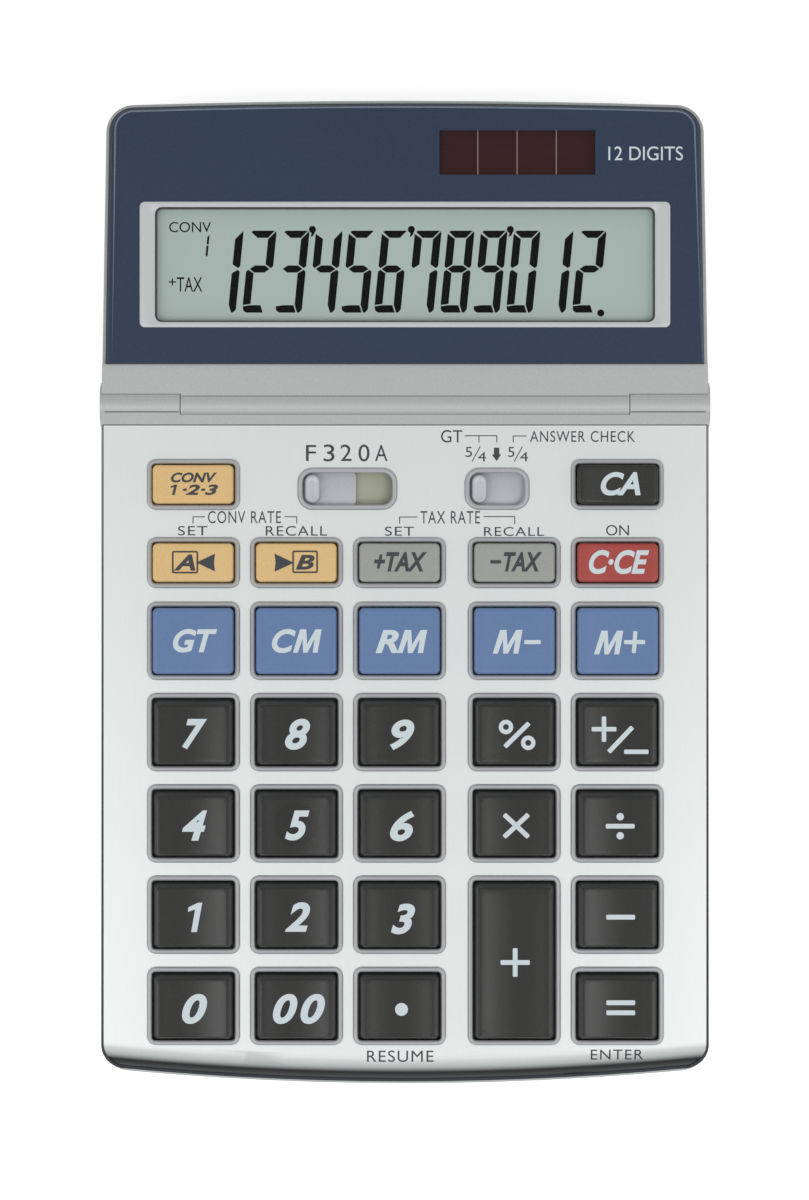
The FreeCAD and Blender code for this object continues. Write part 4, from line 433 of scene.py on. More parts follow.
class CalculatorSizes(bpy.types.PropertyGroup):
    """Sizes of the pieces that this scene adds."""

    rim: length_property("Bezel rim", "Width of the rim round each opening", 0.87)
    rim_height: length_property("Bezel height", "Top of the rims over the face plate", 0.6)
    rim_round: length_property("Bezel rounding", "Rounding along the rims", 0.34)
    key_height: length_property("Key height", "Top of the keys over the face plate", 2.5)
    key_dish: length_property("Key dish", "Radius of the dish in a key", 60.0)
    key_dish_depth: length_property("Dish depth", "Depth of the dish in a key", 0.3)
    key_corner: length_property("Key corner", "Corner radius of a key", 0.9)
    ink: length_property("Ink", "Thickness of the printed marks", 0.03)
    caption_stroke: length_property("Bracket line", "Width of the lines between captions", 0.17)
    screw_head: length_property("Screw head", "Radius of the screws' heads", 1.8)
    screw_head_height: length_property("Screw head height", "Height of the screws' heads", 0.8)
    screw_shank: length_property("Screw shank", "Radius of the screws' shanks", 1.0)
    screw_recess: length_property("Screw recess", "Length of the crossed recess in a screw", 2.1)
    grip_height: length_property("Grip height", "Top of the slide switches' grips over the face plate", 0.9)


class CalculatorStage(bpy.types.PropertyGroup):
    """Camera and light."""

    camera_distance: FloatProperty(
        name="Camera distance", description="Camera to the face plate", unit="LENGTH", min=0.1, default=0.75
    )
    view_height: FloatProperty(
        name="View height", description="Picture's height at the face plate", unit="LENGTH", default=0.216
    )
    sky: FloatProperty(name="Sky", description="Strength of the light from all round", min=0, default=0.58)
    softbox: FloatProperty(name="Softboxes", description="Brightness of the softboxes", min=0, default=2.75)
    floor: colour_property("Floor", "Floor and backdrop", 246, 246, 246)


class Value:
    """One output of a node. Arithmetic on it adds Math nodes to its tree."""

    def __init__(self, tree, socket):
        self.tree, self.socket = tree, socket

    def math(self, operation, first, second):
        return self.tree.node("ShaderNodeMath", {"operation": operation}, {0: first, 1: second})

    def __add__(self, other):
        return self.math("ADD", self, other)

    def __rsub__(self, other):
        return self.math("SUBTRACT", other, self)

    def __mul__(self, other):
        return self.math("MULTIPLY", self, other)

    def ramp(self, low, high):
        """0 below one value, 1 above the other, and smooth between them."""
        settings = {"interpolation_type": "SMOOTHSTEP"}
        sockets = {"Value": self, "From Min": low, "From Max": high}
        return self.tree.node("ShaderNodeMapRange", settings, sockets)


class Tree:
    """A node tree under construction."""

    def __init__(self, nodes):
        self.nodes = nodes

    def node(self, kind, settings=None, sockets=None, result=0):
        """Adds a node, makes its settings, fills its sockets and returns one of its outputs."""
        node = self.nodes.nodes.new(kind)
        for name, setting in (settings or {}).items():
            setattr(node, name, setting)
        for name, value in (sockets or {}).items():
            if isinstance(value, Value):
                value = [value]
            if isinstance(value, list):
                for one in value:
                    self.nodes.links.new(one.socket, node.inputs[name])
            else:
                node.inputs[name].default_value = value
        return Value(self, node.outputs[result])


class Finish(Tree):
    """A procedural material on Object coordinates, with one Principled shader."""

    def __init__(self, name):
        self.material = bpy.data.materials.new(name)
        self.material.use_nodes = True
        super().__init__(self.material.node_tree)
        self.shader = self.nodes.nodes["Principled BSDF"]
        self.place = self.node("ShaderNodeTexCoord", result="Object")

    def noise(self, size, detail=2.0, stretch=(1, 1, 1)):
        """Noise whose grains are about the given size in millimetres."""
        stretched = self.node("ShaderNodeMapping", {}, {"Vector": self.place, "Scale": stretch})
        sockets = {"Vector": stretched, "Scale": 1 / (size * MM), "Detail": detail}
        return self.node("ShaderNodeTexNoise", {}, sockets)

    def dot(self, first, second):
        """Dot product of a point or direction of the surface with a constant one."""
        sockets = {0: first, 1: tuple(second)}
        return self.node("ShaderNodeVectorMath", {"operation": "DOT_PRODUCT"}, sockets, 1)

    def mix(self, share, first, second):
        """Mixes two colours."""
        sockets = {0: share, 6: as_colour(first), 7: as_colour(second)}
        return self.node("ShaderNodeMix", {"data_type": "RGBA"}, sockets, 2)

    def set(self, **sockets):
        """Fills the shader's sockets: Base_Color stands for Base Color."""
        for name, value in sockets.items():
            socket = self.shader.inputs[name.replace("_", " ")]
            if isinstance(value, Value):
                self.nodes.links.new(value.socket, socket)
            else:
                socket.default_value = value

    def relief(self, height, depth):
        """Bump from a height between 0 and 1 and its depth in millimetres."""
        bump = self.node("ShaderNodeBump", {}, {"Height": height, "Distance": depth * MM, "Strength": 1.0})
        self.set(Normal=bump)


def as_colour(colour):
    return colour if isinstance(colour, Value) else (*colour, 1.0)


def darker(colour, share):
    return tuple(channel * share for channel in colour)


def grained(name, colour, roughness, grain, depth, mottle=0.12, **shader):
    """Moulded plastic or paint: fine grain in colour, gloss and surface, and a slow drift of tone."""
    finish = Finish(name)
    fine = finish.noise(grain)
    drift = finish.noise(22.0)
    tone = finish.mix(fine.ramp(0.3, 0.7), darker(colour, 1 - mottle), darker(colour, 1 + mottle))
    finish.set(Base_Color=finish.mix(drift * 0.5, tone, darker(colour, 0.94)))
    finish.set(Roughness=fine * 0.16 + (roughness - 0.08), **shader)
    finish.relief(fine, depth)


def flaked(name, colour, flake, roughness):
    """Metallic paint: dark ground with pale flakes in it, and a painted highlight along its edges, paler
    where the surface turns away from up.
    """
    finish = Finish(name)
    flakes = finish.noise(0.09, 1.0).ramp(0.58, 0.78)
    cloud = finish.noise(0.3, 3.0)
    drift = finish.noise(30.0, 1.0)
    facing = finish.node("ShaderNodeTexCoord", result="Normal")
    # Painted highlight: the paint turns paler where its surface tilts away from up, on the bevelled edges.
    edges = (1 - finish.dot(facing, KEYBOARD_UP).ramp(0.8, 0.995)) * 0.75
    ground = finish.mix(cloud * 0.7 + drift * 0.3, darker(colour, 0.82), darker(colour, 1.18))
    finish.set(Base_Color=finish.mix(flakes * 0.4 + edges, ground, flake))
    finish.set(Metallic=flakes * 0.5 + 0.2, Roughness=cloud * 0.12 + (roughness - 0.06))
    finish.relief(cloud, 0.004)


def satin_sheet(colours):
    """Satin metal sheet with a painted dark reflection where it rolls over the front edge, and less
    metallic there.
    """
    finish = Finish("satin_sheet")
    grain = finish.noise(0.14)
    brush = finish.noise(0.5, 3.0, (1, 0.04, 1))
    drift = finish.noise(45.0, 1.0)
    under_top = finish.dot(finish.place, -KEYBOARD_UP / MM) + KEYBOARD_ORIGIN.dot(KEYBOARD_UP) / MM
    # Painted reflection: from just under the top down the front roll, the sheet's colour goes over to a
    # dark one.
    roll = under_top.ramp(0.12, 1.3)
    tone = finish.mix(grain * 0.5 + brush * 0.5, darker(colours.sheet, 0.95), darker(colours.sheet, 1.04))
    tone = finish.mix(drift * 0.35, tone, darker(colours.sheet, 0.95))
    finish.set(Base_Color=finish.mix(roll, tone, colours.sheet_painted_reflection))
    finish.set(Roughness=grain * 0.08 + 0.32, Metallic=(1 - roll) * 0.6, Specular_IOR_Level=0.15)
    finish.relief(grain, 0.003)


def crystal_glass(colours):
    """Liquid crystal cell: pale reflector under satin glass."""
    finish = Finish("crystal_glass")
    grain = finish.noise(0.12)
    drift = finish.noise(30.0)
    tone = finish.mix(grain, darker(colours.crystal, 0.97), darker(colours.crystal, 1.03))
    finish.set(Base_Color=finish.mix(drift * 0.3, tone, darker(colours.crystal, 0.96)))
    finish.set(Roughness=grain * 0.1 + 0.35)
    finish.relief(grain, 0.001)


def cell_glass(colours):
    """Solar cell: dark film with fine streaks behind glossy glass."""
    finish = Finish("cell_glass")
    streaks = finish.noise(0.6, 2.0, (0.05, 1, 1))
    cloud = finish.noise(9.0, 2.0)
    tone = finish.mix(cloud, darker(colours.solar, 0.8), darker(colours.solar, 1.25))
    finish.set(Base_Color=finish.mix(streaks.ramp(0.45, 0.7) * 0.3, tone, darker(colours.solar, 0.6)))
    finish.set(Roughness=streaks * 0.1 + 0.12, Specular_IOR_Level=0.2)
    finish.relief(cloud, 0.01)


def clear_window():
    """Clear window pane: barely there face on, glossier at a slant."""
    finish = Finish("clear_window")
    slant = finish.node("ShaderNodeLayerWeight", {}, {"Blend": 0.25}, "Fresnel")
    scuffs = finish.noise(3.0, 6.0).ramp(0.62, 0.8)
    finish.set(Base_Color=(0.05, 0.06, 0.06, 1.0), Roughness=scuffs * 0.15 + 0.04)
    finish.set(Alpha=slant * 0.5 + scuffs * 0.01 + 0.01)


def metal(name, colour, roughness, stretch):
    """Bare metal with the fine lines of its making."""
    finish = Finish(name)
    lines = finish.noise(0.1, 3.0, stretch)
    stain = finish.noise(3.0, 3.0)
    tone = finish.mix(lines, darker(colour, 0.85), darker(colour, 1.1))
    finish.set(Base_Color=finish.mix(stain * 0.3, tone, darker(colour, 0.75)), Metallic=1.0)
    finish.set(Roughness=lines * 0.2 + (roughness - 0.1))
    finish.relief(lines, 0.003)


def circuit_board():
    """Green lacquered circuit board with the faint lines of its tracks."""
    finish = Finish("circuit_board")
    weave = finish.noise(0.4)
    tracks = finish.node("ShaderNodeTexBrick", {"offset": 0.3}, {"Vector": finish.place, "Scale": 400.0})
    tone = finish.mix(weave, shade(24, 84, 52), shade(32, 104, 62))
    finish.set(Base_Color=finish.mix(tracks * 0.15, tone, shade(70, 130, 80)), Roughness=weave * 0.1 + 0.3)
    finish.relief(weave, 0.01)


def ink(name, colour):
    """Printed ink: even, a little matt, thin in places."""
    finish = Finish(name)
    wear = finish.noise(0.25, 3.0)
    finish.set(Base_Color=finish.mix(wear.ramp(0.45, 0.85) * 0.25, colour, darker(colour, 0.8)))
    finish.set(Roughness=wear * 0.2 + 0.4)
    finish.relief(wear, 0.004)


def new_piece(form, name, finishes, body, stands_for=(), sharp=35, place=IN_ROW_FRAME):
    """Makes a bmesh a piece: smooth up to an angle, leaned into the row frame and put on its body."""
    mesh = bpy.data.meshes.new(name)
    form.to_mesh(mesh)
    form.free()
    mesh.shade_smooth()
    mesh.set_sharp_from_angle(angle=math.radians(sharp))
    mesh.transform(place)
    for finish in finishes:
        mesh.materials.append(bpy.data.materials[finish])
    piece = bpy.data.objects.new(name, mesh)
    bpy.context.scene.collection.objects.link(piece)
    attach(piece, body)
    if stands_for:
        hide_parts(*stands_for)


def weld(form):
    """Merges doubles and turns faces outwards."""
    bmesh.ops.remove_doubles(form, verts=form.verts, dist=MERGE_DISTANCE)
    bmesh.ops.recalc_face_normals(form, faces=form.faces)


def at_height(outline, z):
    return [(x, y, z) for x, y in outline]


def rounded_outline(left, right, front, rear, radius, steps=5, along=1):
    """A rectangle with round corners, counterclockwise, with its straight sides cut into steps."""
    radius = min(radius, (right - left) / 2 - 1e-3, (rear - front) / 2 - 1e-3)
    left, right, front, rear = left + radius, right - radius, front + radius, rear - radius
    arcs = []
    for x, y, start in ((right, rear, 0), (left, rear, 90), (left, front, 180), (right, front, 270)):
        turns = [math.radians(start + 90 * step / steps) for step in range(steps + 1)]
        arcs.append([(x + radius * math.cos(turn), y + radius * math.sin(turn)) for turn in turns])
    points = []
    for arc, following in zip(arcs, arcs[1:] + arcs[:1]):
        (x0, y0), (x1, y1) = arc[-1], following[0]
        points += arc
        shares = [step / along for step in range(1, along)]
        points += [(x0 + (x1 - x0) * share, y0 + (y1 - y0) * share) for share in shares]
    return points


def centred_outline(x, y, half_x, half_y, radius, steps=5, along=1):
    """A rectangle with round corners round a middle."""
    return rounded_outline(x - half_x, x + half_x, y - half_y, y + half_y, radius, steps, along)


def skin(form, loops, material=0, closed=True):
    """Joins loops of points with faces from the first to the last, and closes the two ends or neither."""
    rings = [[form.verts.new(point) for point in loop] for loop in loops]
    faces = []
    count = len(rings[0])
    for lower, upper in zip(rings, rings[1:]):
        for index in range(count):
            after = (index + 1) % count
            faces.append(form.faces.new((lower[index], lower[after], upper[after], upper[index])))
    if closed:
        faces.append(form.faces.new(rings[-1]))
        faces.append(form.faces.new(list(reversed(rings[0]))))
    for face in faces:
        face.material_index = material


def prism(form, points, material=0):
    """A flat outline as a closed slab between z = 0 and z = 1, to be laid on a surface."""
    skin(form, [at_height(points, 0), at_height(points, 1)], material)


def add_bar(form, x, y, length, width, turn, material=0):
    """A straight stroke with slightly rounded ends."""
    bar = centred_outline(0, 0, length / 2, width / 2, width * 0.22, 3)
    c, s = math.cos(math.radians(turn)), math.sin(math.radians(turn))
    prism(form, [(x + px * c - py * s, y + px * s + py * c) for px, py in bar], material)


def add_ring(form, x, y, outer, inner, material=0, steps=32):
    """A disc, or a ring where it has an inner radius."""
    circle = [(math.cos(2 * math.pi * i / steps), math.sin(2 * math.pi * i / steps)) for i in range(steps)]
    if not inner:
        prism(form, [(x + outer * px, y + outer * py) for px, py in circle], material)
        return
    loops = []
    for radius, z in ((inner, 0), (outer, 0), (outer, 1), (inner, 1), (inner, 0)):
        loops.append([(x + radius * px, y + radius * py, z) for px, py in circle])
    skin(form, loops, material, closed=False)


def add_box_outline(form, x, y, width, depth, stroke, material=0):
    """A rectangular frame drawn with one line."""
    loops = []
    for grow, z in ((-stroke, 0), (0, 0), (0, 1), (-stroke, 1), (-stroke, 0)):
        outline = centred_outline(x, y, width / 2 + grow, depth / 2 + grow, 0.35 + grow, 3)
        loops.append(at_height(outline, z))
    skin(form, loops, material, closed=False)


def add_words(form, words, x, y, width, height, material=0, slant=0.0, weight=0.0, spacing=1.0):
    """Words in the built-in font, fitted to a box, as slabs between z = 0 and z = 1."""
    curve = bpy.data.curves.new("words", "FONT")
    curve.body = words
    curve.shear = slant
    curve.offset = weight
    curve.extrude = 0.5
    curve.space_character = spacing
    curve.resolution_u = 8
    writer = bpy.data.objects.new("words", curve)
    bpy.context.scene.collection.objects.link(writer)
    depsgraph = bpy.context.evaluated_depsgraph_get()
    mesh = bpy.data.meshes.new_from_object(writer.evaluated_get(depsgraph))
    bpy.data.objects.remove(writer)
    bpy.data.curves.remove(curve)
    across = [vertex.co.x for vertex in mesh.vertices]
    along = [vertex.co.y for vertex in mesh.vertices]
    scale = Matrix.Diagonal((width / (max(across) - min(across)), height / (max(along) - min(along)), 1, 1))
    middle = Vector(((max(across) + min(across)) / 2, (max(along) + min(along)) / 2, -0.5))
    mesh.transform(Matrix.Translation((x, y, 0)) @ scale @ Matrix.Translation(-middle))
    first = len(form.faces)
    form.from_mesh(mesh)
    form.faces.ensure_lookup_table()
    for face in form.faces[first:]:
        face.material_index = material
    bpy.data.meshes.remove(mesh)


def add_marks(form, marks, material, slant=0.28, weight=0.034):
    """All the marks of one key."""
    for kind, *sizes in marks:
        if kind == "words":
            words, x, y, width, height = sizes
            add_words(form, words, x, y, width, height, material, slant, weight)
        elif kind == "bar":
            add_bar(form, *sizes, material)
        elif kind == "ring":
            add_ring(form, *sizes, material)
        elif kind == "box":
            add_box_outline(form, *sizes, material)
        elif kind == "outline":
            letter, x, y, width, height = sizes
            outline = [(x + width * (px - 0.5), y + height * (py - 0.5)) for px, py in OUTLINES[letter]]
            prism(form, outline, material)
        else:
            prism(form, sizes, material)


def lay(form, height_at, thickness, step=0.8, sunk=0.02):
    """Cuts slabs into strips and lays them on a surface, a little sunk into it."""
    bmesh.ops.remove_doubles(form, verts=form.verts, dist=MERGE_DISTANCE)
    bmesh.ops.triangulate(form, faces=[face for face in form.faces if len(face.verts) > 4])
    for axis in (0, 1):
        values = [vertex.co[axis] for vertex in form.verts]
        normal = Vector((1, 0, 0)) if axis == 0 else Vector((0, 1, 0))
        cut = min(values) + step / 2
        while cut < max(values):
            everything = form.verts[:] + form.edges[:] + form.faces[:]
            bmesh.ops.bisect_plane(form, geom=everything, plane_co=normal * cut, plane_no=normal)
            cut += step
    bmesh.ops.recalc_face_normals(form, faces=form.faces)
    for vertex in form.verts:
        raised = thickness if vertex.co.z > 0.5 else -sunk
        vertex.co.z = height_at(vertex.co.x, vertex.co.y) + raised


def points_of(node):
    """Corners of a CAD node's mesh in the keyboard frame."""
    back = IN_ROW_FRAME.inverted()
    return [back @ vertex.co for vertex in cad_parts[node].data.vertices]


def outline_of(node):
    """Outline of a CAD node seen from over the keyboard, counterclockwise, at its highest corners."""
    points = points_of(node)
    close = 0.05
    outline = []
    for index in geometry.convex_hull_2d([point.xy for point in points]):
        x, y = points[index].xy
        height = max(point.z for point in points if abs(point.x - x) < close and abs(point.y - y) < close)
        if not outline or math.hypot(x - outline[-1].x, y - outline[-1].y) > close:
            outline.append(Vector((x, y, height)))
    area = sum(a.x * b.y - b.x * a.y for a, b in zip(outline, outline[1:] + outline[:1]))
    return outline if area > 0 else outline[::-1]


def spread(outline, distances):
    """An outline moved outwards in plan, by one distance or by one for each point."""
    if not isinstance(distances, list):
        distances = [distances] * len(outline)
    moved = []
    for index, (point, distance) in enumerate(zip(outline, distances)):
        along = (outline[(index + 1) % len(outline)].xy - outline[index - 1].xy).normalized()
        moved.append((point.x + along.y * distance, point.y - along.x * distance))
    return moved


def add_seam(form, outline, inner, outer, heights, thickness, material=0):
    """A flat band along an outline, between two distances from it."""
    near, far = spread(outline, inner), spread(outline, outer)
    loops = []
    for edge, down in ((near, thickness), (far, thickness), (far, 0.0), (near, 0.0), (near, thickness)):
        loops.append([(x, y, z - down) for (x, y), z in zip(edge, heights)])
    skin(form, loops, material, closed=False)


def surface_of(node):
    """A function that gives the height of a CAD node's upper surface in the keyboard frame."""
    polygons = [tuple(polygon.vertices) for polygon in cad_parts[node].data.polygons]
    tree = BVHTree.FromPolygons(points_of(node), polygons)

    def height_at(x, y):
        hit = tree.ray_cast(Vector((x, y, ABOVE_ALL)), Vector((0, 0, -1)))[0]
        if hit is None:
            raise RuntimeError(f"nothing of {node} lies under {x:.2f}, {y:.2f}")
        return hit.z

    return height_at


class CALCULATOR_OT_finishes(bpy.types.Operator):
    """Makes the finishes and puts them on the pieces that come from the model"""

    bl_idname = "calculator.finishes"
    bl_label = "Finishes"

    def execute(self, context):
        colours = context.scene.calculator_colours
        grained("grained_case", colours.case, 0.42, 0.15, 0.006, 0.1, Metallic=0.35)
        grained("bezel_plastic", colours.bezel, 0.4, 0.12, 0.003, 0.04, Metallic=0.3)
        satin_sheet(colours)
        flaked("blue_paint", colours.panel, shade(112, 128, 150), 0.36)
        grained("silver_paint", colours.window_frame, 0.4, 0.12, 0.003, 0.06, Metallic=0.15)
        # Painted shade: the dark ring inside the display window, where its deep opening lies in shade.
        grained("window_gasket", shade(74, 80, 78), 0.6, 0.2, 0.004)
        # Dark seams: real gaps, in places widened into painted shade.
        grained("seam_shadow", shade(56, 60, 66), 0.6, 0.2, 0.004)
        # Painted highlight: the pale line along the display panel's bevelled edge.
        grained("panel_edge", shade(112, 124, 138), 0.4, 0.1, 0.004, 0.5)
        clear_window()
        crystal_glass(colours)
        cell_glass(colours)
        grained("black_key", colours.black, 0.24, 0.11, 0.003, 0.3)
        grained("charcoal_key", darker(colours.black, 1.2), 0.28, 0.11, 0.003, 0.25)
        grained("dark_spot", darker(colours.black, 0.7), 0.24, 0.11, 0.003, 0.25)
        for tint in ("blue", "orange", "grey", "red"):
            grained(f"{tint}_key", getattr(colours, tint), 0.34, 0.3, 0.004, 0.05)
        grained("slide_plastic", colours.slide, 0.36, 0.2, 0.004, 0.05, Metallic=0.15)
        grained("switch_floor", colours.slide_floor, 0.45, 0.2, 0.004, 0.05)
        grained("grey_rubber", shade(150, 152, 150), 0.7, 0.2, 0.01)
        grained("black_rubber", shade(38, 38, 38), 0.75, 0.25, 0.02, 0.2)
        grained("chip_resin", shade(34, 34, 36), 0.55, 0.2, 0.01, 0.2)
        grained("ribbon_film", shade(222, 224, 220), 0.3, 0.4, 0.003)
        grained("crystal_ink", shade(20, 20, 19), 0.7, 0.3, 0.001, 0.1, Specular_IOR_Level=0.1)
        circuit_board()
        metal("contact_brass_sheet", shade(206, 172, 92), 0.32, (1, 0.1, 1))
        metal("screw_steel", shade(184, 186, 188), 0.3, (1, 1, 0.2))
        metal("cell_bus", shade(150, 132, 130), 0.35, (1, 0.2, 1))
        ink("light_ink", colours.light_ink)
        ink("dark_ink", colours.dark_ink)
        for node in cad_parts.values():
            for slot in node.material_slots:
                slot.material = bpy.data.materials[SLOT_FINISHES[slot.material.name]]
        return {"FINISHED"}


def started_tree(name, sizes):
    """A Geometry Nodes tree that takes points, sizes and a finish, and its inputs by name."""
    group = bpy.data.node_groups.new(name, "GeometryNodeTree")
    group.interface.new_socket("Geometry", in_out="INPUT", socket_type="NodeSocketGeometry")
    for size in sizes:
        group.interface.new_socket(size, in_out="INPUT", socket_type="NodeSocketFloat")
    group.interface.new_socket("Finish", in_out="INPUT", socket_type="NodeSocketMaterial")
    group.interface.new_socket("Geometry", in_out="OUTPUT", socket_type="NodeSocketGeometry")
    tree = Tree(group)
    given = group.nodes.new("NodeGroupInput")
    return tree, {socket.name: Value(tree, socket) for socket in given.outputs if socket.name}


def finished_tree(tree, given, shape):
    """Ends a tree with its shape at each point, as plain geometry with its finish."""
    placed = tree.node("GeometryNodeInstanceOnPoints", {}, {"Points": given["Geometry"], "Instance": shape})
    solid = tree.node("GeometryNodeRealizeInstances", {}, {"Geometry": placed})
    finished = tree.node("GeometryNodeSetMaterial", {}, {"Geometry": solid, "Material": given["Finish"]})
    out = tree.nodes.nodes.new("NodeGroupOutput")
    tree.nodes.links.new(finished.socket, out.inputs[0])
    return tree.nodes


def rim_tree():
    """Geometry Nodes: a rounded rim round each point of a mesh."""
    tree, given = started_tree("Bezel rims", ("Width", "Depth", "Corner", "Rim", "Height", "Rounding"))
    sockets = {"Width": given["Width"], "Height": given["Depth"]}
    outline = tree.node("GeometryNodeCurvePrimitiveQuadrilateral", {}, sockets)
    sockets = {"Curve": outline, "Radius": given["Corner"], "Limit Radius": True, "Count": 6}
    rounded = tree.node("GeometryNodeFilletCurve", {"mode": "POLY"}, sockets)
    sockets = {"Width": given["Rim"], "Height": given["Height"] * 2}
    section = tree.node("GeometryNodeCurvePrimitiveQuadrilateral", {}, sockets)
    sockets = {"Curve": section, "Radius": given["Rounding"], "Limit Radius": True, "Count": 5}
    section = tree.node("GeometryNodeFilletCurve", {"mode": "POLY"}, sockets)
    rim = tree.node("GeometryNodeCurveToMesh", {}, {"Curve": rounded, "Profile Curve": section})
    return finished_tree(tree, given, rim)


def screw_tree():
    """Geometry Nodes: a screw at each point of a mesh, its head down and with a crossed recess."""
    tree, given = started_tree("Screws", ("Head", "Head height", "Shank", "Length", "Recess"))
    sockets = {"Vertices": 32, "Radius Top": given["Head"], "Radius Bottom": given["Head"] * 0.84}
    head = tree.node("GeometryNodeMeshCone", {}, {**sockets, "Depth": given["Head height"]})
    for x, y in ((1.0, 0.26), (0.26, 1.0)):
        sockets = {"X": given["Recess"] * x, "Y": given["Recess"] * y, "Z": given["Head height"]}
        size = tree.node("ShaderNodeCombineXYZ", {}, sockets)
        slot = tree.node("GeometryNodeMeshCube", {}, {"Size": size})
        sockets = {"Mesh 1": head, "Mesh 2": slot}
        head = tree.node("GeometryNodeMeshBoolean", {"operation": "DIFFERENCE"}, sockets)
    sockets = {"Vertices": 20, "Radius": given["Shank"], "Depth": given["Length"]}
    shank = tree.node("GeometryNodeMeshCylinder", {}, sockets)
    lift = tree.node("ShaderNodeCombineXYZ", {}, {"Z": given["Head height"] + given["Length"] * 0.5})
    shank = tree.node("GeometryNodeTransform", {}, {"Geometry": shank, "Translation": lift})
    screw = tree.node("GeometryNodeJoinGeometry", {}, {"Geometry": [head, shank]})
    return finished_tree(tree, given, screw)


def grown(group, points, inputs):
    """Runs a Geometry Nodes tree over points and returns the mesh that it makes."""
    seeds = bpy.data.meshes.new("seeds")
    seeds.from_pydata(points, [], [])
    carrier = bpy.data.objects.new("seeds", seeds)
    bpy.context.scene.collection.objects.link(carrier)
    modifier = carrier.modifiers.new("grown", "NODES")
    modifier.node_group = group
    for item in group.interface.items_tree:
        if item.in_out == "INPUT" and item.name in inputs:
            modifier[item.identifier] = inputs[item.name]
    depsgraph = bpy.context.evaluated_depsgraph_get()
    mesh = bpy.data.meshes.new_from_object(carrier.evaluated_get(depsgraph), depsgraph=depsgraph)
    carrier.modifiers.clear()
    bpy.data.objects.remove(carrier)
    bpy.data.meshes.remove(seeds)
    return mesh


def joined(meshes):
    """Several meshes as one bmesh of one finish."""
    form = bmesh.new()
    for mesh in meshes:
        form.from_mesh(mesh)
        bpy.data.meshes.remove(mesh)
    for face in form.faces:
        face.material_index = 0
    weld(form)
    return form


class CALCULATOR_OT_bezels(bpy.types.Operator):
    """Grows the raised rim round every key and slide switch"""

    bl_idname = "calculator.bezels"
    bl_label = "Bezels"

    def execute(self, context):
        sizes = context.scene.calculator_sizes
        rim = sizes.rim / MM
        group = rim_tree()
        meshes = []
        for width, depth, corner, middles in BEZELS:
            inputs = {
                "Width": width - rim + BEZEL_PLAY,
                "Depth": depth - rim + BEZEL_PLAY,
                "Corner": corner - rim / 2,
                "Rim": rim,
                "Height": sizes.rim_height / MM,
                "Rounding": sizes.rim_round / MM,
                "Finish": bpy.data.materials["bezel_plastic"],
            }
            meshes.append(grown(group, [(x, y, 0) for x, y in middles], inputs))
        new_piece(joined(meshes), "bezel_rims", ["bezel_plastic"], "base", sharp=50)
        return {"FINISHED"}


def key_loops(half_x, half_y, profile, top_at, corner):
    """Loops of a keycap: each level gives side, rear and front insets, and a height or a drop."""
    loops = []
    for side, rear, front, z, drop in profile:
        radius = max(corner - side * 0.5, 0.15)
        x, low, high = half_x - side, front - half_y, half_y - rear
        outline = rounded_outline(-x, x, low, high, radius, 5, 8)
        loops.append([(x, y, z if drop is None else top_at(x, y) - drop) for x, y in outline])
    side, rear, front = profile[-1][:3]
    middle = (front - rear) / 2
    for share in (0.9, 0.75, 0.55, 0.35, 0.15):
        x, y = (half_x - side) * share, (half_y - (rear + front) / 2) * share
        outline = rounded_outline(-x, x, middle - y, middle + y, corner * share, 5, 8)
        loops.append([(px, py, top_at(px, py)) for px, py in outline])
    return loops


# Inset of the sides, the rear and the front, then a height, or None and a drop under the dished top.
KEY_FOOT = (
    (-0.65, -0.65, -0.65, -2.95, None),
    (-0.65, -0.65, -0.65, -2.05, None),
    (0.0, 0.0, 0.0, -2.05, None),
)
BLACK_PROFILE = KEY_FOOT + (
    (0.0, 0.0, 0.0, 0.25, None),
    (0.04, 0.05, 0.03, 0.42, None),
    (0.7, 0.96, 0.52, None, 0.14),
    (0.73, 0.99, 0.55, None, 0.06),
    (0.78, 1.04, 0.6, None, 0.015),
    (0.86, 1.12, 0.68, None, 0.0),
)
COLOUR_PROFILE = KEY_FOOT + (
    (0.06, 0.07, 0.05, None, 0.5),
    (0.1, 0.11, 0.09, None, 0.26),
    (0.18, 0.2, 0.16, None, 0.1),
    (0.32, 0.34, 0.3, None, 0.025),
    (0.5, 0.52, 0.48, None, 0.0),
)


